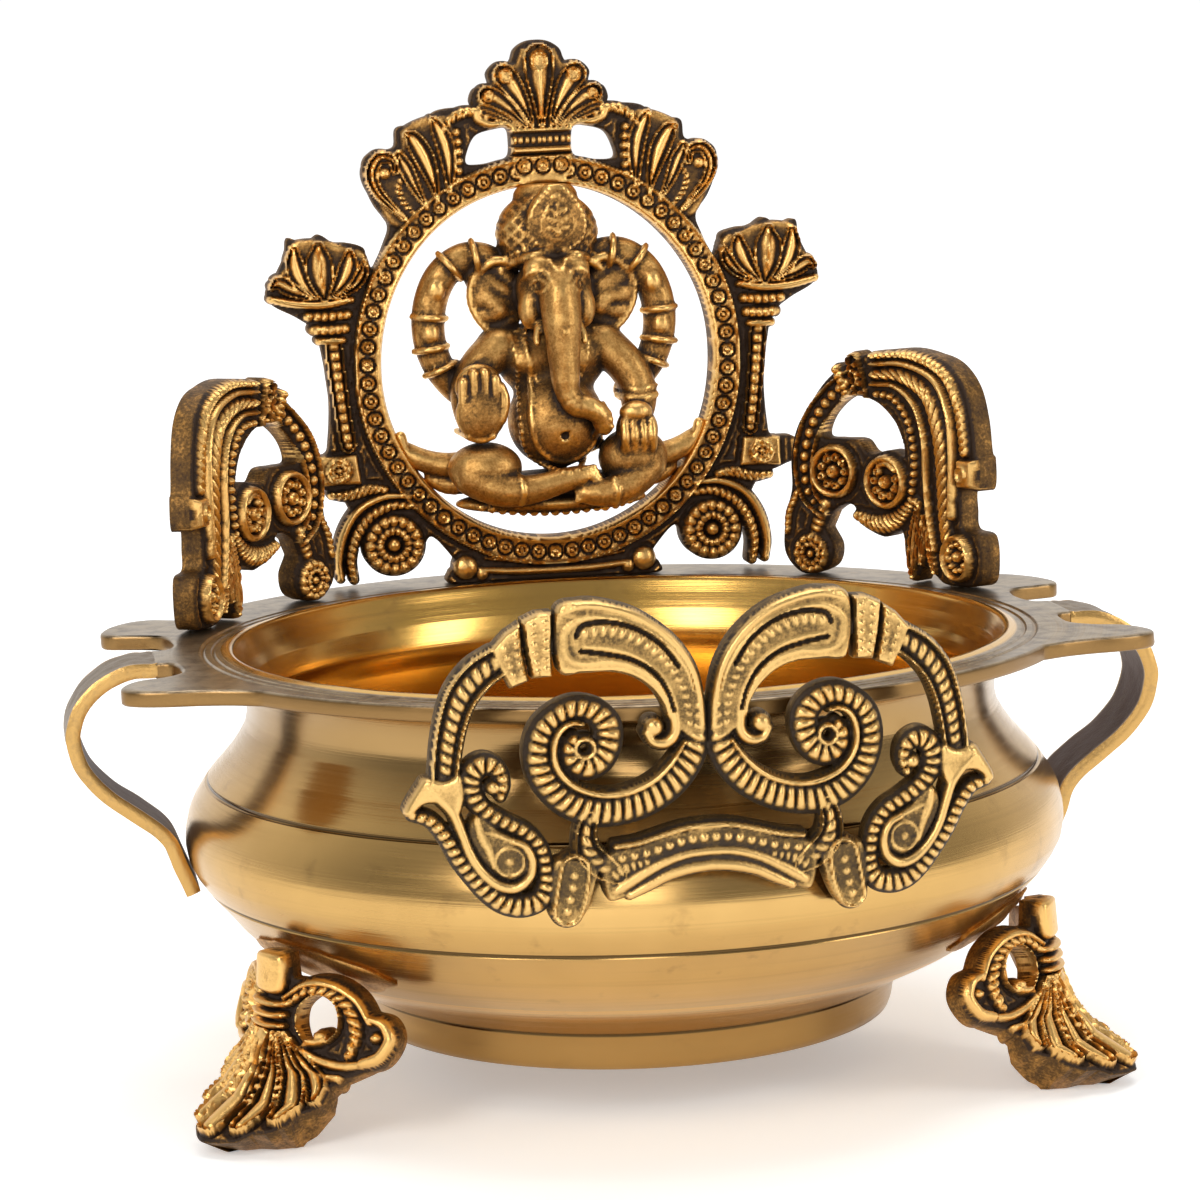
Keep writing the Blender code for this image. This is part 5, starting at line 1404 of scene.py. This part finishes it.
    # knees, shins and feet
    v.mass((-18.4, 84.6, 30.4), (9.4, 7.4, 6.6), 1.2)
    v.limb([(-22, 82.6, 28.4, 4.6), (-14.5, 80.4, 25.2, 4), (-7, 79.4, 25.2, 3.3), (0.6, 79.2, 27, 2.8),
            (6.8, 79.4, 28.2, 2.3)], 1)
    v.mass((19.4, 84.6, 31.6), (8.8, 7.4, 7.4), 1.2)
    v.limb([(23, 82.4, 29.4, 4.4), (17.4, 80.4, 25.2, 4), (11.4, 79.4, 23.4, 3.4), (6.2, 79.4, 23.6, 2.7)], 0.6)
    for k in range(4):
        v.limb([(5.6 + 0.9 * k, 78, 29.6 - 0.9 * k, 0.8), (8.4 + 0.7 * k, 78.4, 30.2 - 1.3 * k, 0.75)], 0.2)
        v.limb([(6.4 - 0.2 * k, 77.8, 25.4 - 1.0 * k, 0.8), (3.8, 78.4, 25.2 - 1.2 * k, 0.7)], 0.2)
    v.cord([(-10.6, 28.8, 0.8), (-9.8, 25.4, 0.9), (-10.4, 21.8, 0.8)], 0.3)
    v.cord([(13.4, 27, 0.8), (14, 23.6, 0.9), (13.2, 20.2, 0.8)], 0.3)
    # garland, necklaces, sash over the shoulder, belt and navel
    v.cord([(-8, 64.4, 0.7), (-6.4, 58, 0.8), (-6, 50, 0.9), (-6.6, 42, 0.9), (-4.4, 34.6, 0.9), (1.6, 31.6, 0.9),
            (8, 34.4, 0.9), (10.4, 40.4, 0.9)], 0.3)
    v.beads([(-10.6, 64, 0.8), (-9.2, 57, 0.8), (-8.8, 50, 0.8), (-9.2, 42, 0.8), (-7, 33.4, 0.9), (1.6, 29, 0.9),
             (9.8, 32.6, 0.9), (12.6, 39, 0.9), (12, 45.4, 0.8)], 1.8, 0.2)
    for s in (-1, 1):
        v.beads([(1 + s * 7.4, 66, 0.7), (1 + s * 7.8, 61, 0.7), (1 + s * 7, 55.6, 0.7), (1 + s * 5.2, 51.6, 0.7)],
                1.5, 0.2)
        v.beads([(1 + s * 9.8, 64.6, 0.6), (1 + s * 10.2, 60, 0.6), (1 + s * 9.4, 54.6, 0.6)], 1.3, 0.2)
    v.beads([(-21, 20.8, 1.1), (-12, 19.4, 1.2), (-1, 18.8, 1.2), (10, 19.4, 1.2), (19.6, 20.8, 1.1)], 2.7, 0.2)
    w = v.window((-0.6, 74, 36), (3.4, 84, 40))
    x, y, z = (p[w] for p in v.p)
    v.d[w] = np.maximum(v.d[w], 1.1 - np.sqrt((x - 1.4) ** 2 + (y - v.front(1.4, 38.2)) ** 2 + (z - 38.2) ** 2))
    v.d = np.maximum(v.d, v.p[1] - FIGURE_BACK)
    ring = np.hypot(v.p[0] / (RING_INNER[0] + 0.4), (v.p[2] - RING_CENTRE_Z) / (RING_INNER[1] + 0.4))
    v.d = np.maximum(v.d, (ring - 1) * RING_INNER[0])
    co, faces = v.mesh()
    return make_mesh("seated_figure_cast", co, faces, material, v.wear(co), 80)


# ---------------------------------------------------------------- the scene

CAMERA_PLACE = (-142.04, -842.72, 132.25)
CAMERA_YAW, CAMERA_PITCH, CAMERA_ROLL = radians(9.3), -0.1446, -0.0315
CAMERA_LENS, CAMERA_SENSOR = 112.26, 36.0
WHITE, DAYLIGHT, SOFT_DAYLIGHT = (1.0, 1.0, 1.0), (1.0, 0.98, 0.95), (1.0, 0.99, 0.97)
# Each light: place, target, size, power, colour
LIGHTS = {"key": ((-0.75, -0.95, 0.75), (0, 0, 0.06), (0.45, 0.8), 8.0, DAYLIGHT),
          "fill": ((1.0, -0.75, 0.55), (0, 0, 0.06), (0.4, 0.8), 5.0, SOFT_DAYLIGHT),
          "front": ((-0.15, -1.3, 0.35), (0, 0, 0.06), (0.35, 0.5), 1.6, SOFT_DAYLIGHT),
          "top": ((0.1, 0.1, 1.4), (0, 0, 0.1), (0.9, 0.9), 7.5, WHITE)}
ROOM_FADE = {"From Min": -0.35, "From Max": 0.75, "To Min": 0.28, "To Max": 1.03}
FLOOR_SIZE, FLOOR_DROP = 12.0, 0.0002


def look_at_bowl():
    """The photograph's angle: a little left of the front, slightly above."""
    camera = bpy.data.objects.new("camera", bpy.data.cameras.new("camera"))
    bpy.context.scene.collection.objects.link(camera)
    yaw, pitch, roll = CAMERA_YAW, CAMERA_PITCH, CAMERA_ROLL
    forward = Vector((sin(yaw) * cos(pitch), cos(yaw) * cos(pitch), sin(pitch)))
    right = forward.cross(Vector((0, 0, 1))).normalized()
    up = right.cross(forward)
    turn = Matrix((right * cos(roll) + up * sin(roll), up * cos(roll) - right * sin(roll), -forward))
    place = Vector(CAMERA_PLACE) * MM + Vector(ORIGIN)
    camera.matrix_world = Matrix.Translation(place) @ turn.transposed().to_4x4()
    camera.data.lens = CAMERA_LENS
    camera.data.sensor_width = CAMERA_SENSOR
    bpy.context.scene.camera = camera


def area_light(name, place, target, size, power, colour):
    light = bpy.data.lights.new(name, "AREA")
    light.shape = "RECTANGLE"
    light.size, light.size_y = size
    light.energy = power
    light.color = colour
    obj = bpy.data.objects.new(name, light)
    obj.location = place
    obj.rotation_euler = (Vector(target) - Vector(place)).to_track_quat("-Z", "Y").to_euler()
    bpy.context.scene.collection.objects.link(obj)


def make_world():
    """Pale room light, white beyond the bowl and dimmer before it, for contrast in the metal."""
    world = bpy.data.worlds.new("studio")
    bpy.context.scene.world = world
    world.use_nodes = True
    tree = world.node_tree
    where = tree.nodes.new("ShaderNodeTexCoord")
    split = tree.nodes.new("ShaderNodeSeparateXYZ")
    fade = tree.nodes.new("ShaderNodeMapRange")
    fade.interpolation_type = "SMOOTHSTEP"
    tree.links.new(where.outputs["Generated"], split.inputs[0])
    tree.links.new(split.outputs["Y"], fade.inputs["Value"])
    for name, value in ROOM_FADE.items():
        fade.inputs[name].default_value = value
    tree.nodes["Background"].inputs["Color"].default_value = (*WHITE, 1)
    tree.links.new(fade.outputs["Result"], tree.nodes["Background"].inputs["Strength"])
    bpy.context.scene.view_settings.view_transform = "Standard"


def make_studio():
    """A pale paper floor that glows a little more with distance, so that it ends white."""
    n = Nodes("studio_paper")
    grain = n.noise(n.place(), 400.0, 3.0)
    distance = n.add("ShaderNodeVectorMath", {0: n.place()}, operation="LENGTH").outputs["Value"]
    n.out(Base_Color=n.mix(grain, (0.93, 0.93, 0.92, 1), (0.96, 0.96, 0.955, 1)), Roughness=0.8,
          Emission_Color=(*WHITE, 1), Emission_Strength=n.range(distance, 0.1, 1.6, 0.3, 0.62))
    bpy.ops.mesh.primitive_plane_add(size=FLOOR_SIZE, location=(0, 0, -FLOOR_DROP))
    floor = bpy.context.object
    floor.name = "floor"
    floor.data.materials.append(n.material)

    make_world()
    for name, settings in LIGHTS.items():
        area_light(name, *settings)


look_at_bowl()
make_studio()

polished = turned_brass()
antique = cast_brass("antique_brass_looks", (0.78, 0.47, 0.155), (0.40, 0.205, 0.058), (0.03, 0.015, 0.007))
cast = cast_brass("cast_brass_looks", (0.70, 0.445, 0.16), (0.40, 0.245, 0.085), (0.04, 0.025, 0.014), 0.33)
strap = strap_brass()

finish_piece(make_bowl(polished), "bowl")
plate, panel, wing, leg = draw_front_plate(), draw_panel(), draw_wing(), draw_leg()
finish_piece(plate.solid("front_scrolls", FRONT_THICKNESS, front_surface, cast), "front_plate")
finish_piece(panel.solid("ring_panel", PANEL_THICKNESS, panel_surface, antique), "back_panel")
for side, word in ((-1, "left"), (1, "right")):
    finish_piece(make_strap(side, strap), "handle_" + word)
    sheet = wing.solid("scroll_wing_" + word, WING_THICKNESS, wing_surface(side), antique)
    finish_piece(sheet, "wing_" + word)
for word, angle in LEG_ANGLES.items():
    sheet = leg.solid("cast_leg_" + word, LEG_THICKNESS, leg_surface(angle), antique, behind=0.46)
    pad = make_leg_pad("leg_pad_" + word, angle, antique)
    finish_piece(join([sheet, pad]), "leg_" + word)
finish_piece(make_figure(antique), "seated_figure")

steel = screw_steel()      # the screws' own shapes stay
for name in ("panel_screw_left", "panel_screw_right", "wing_screw_left", "wing_screw_right"):
    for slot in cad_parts[name].material_slots:
        slot.material = steel
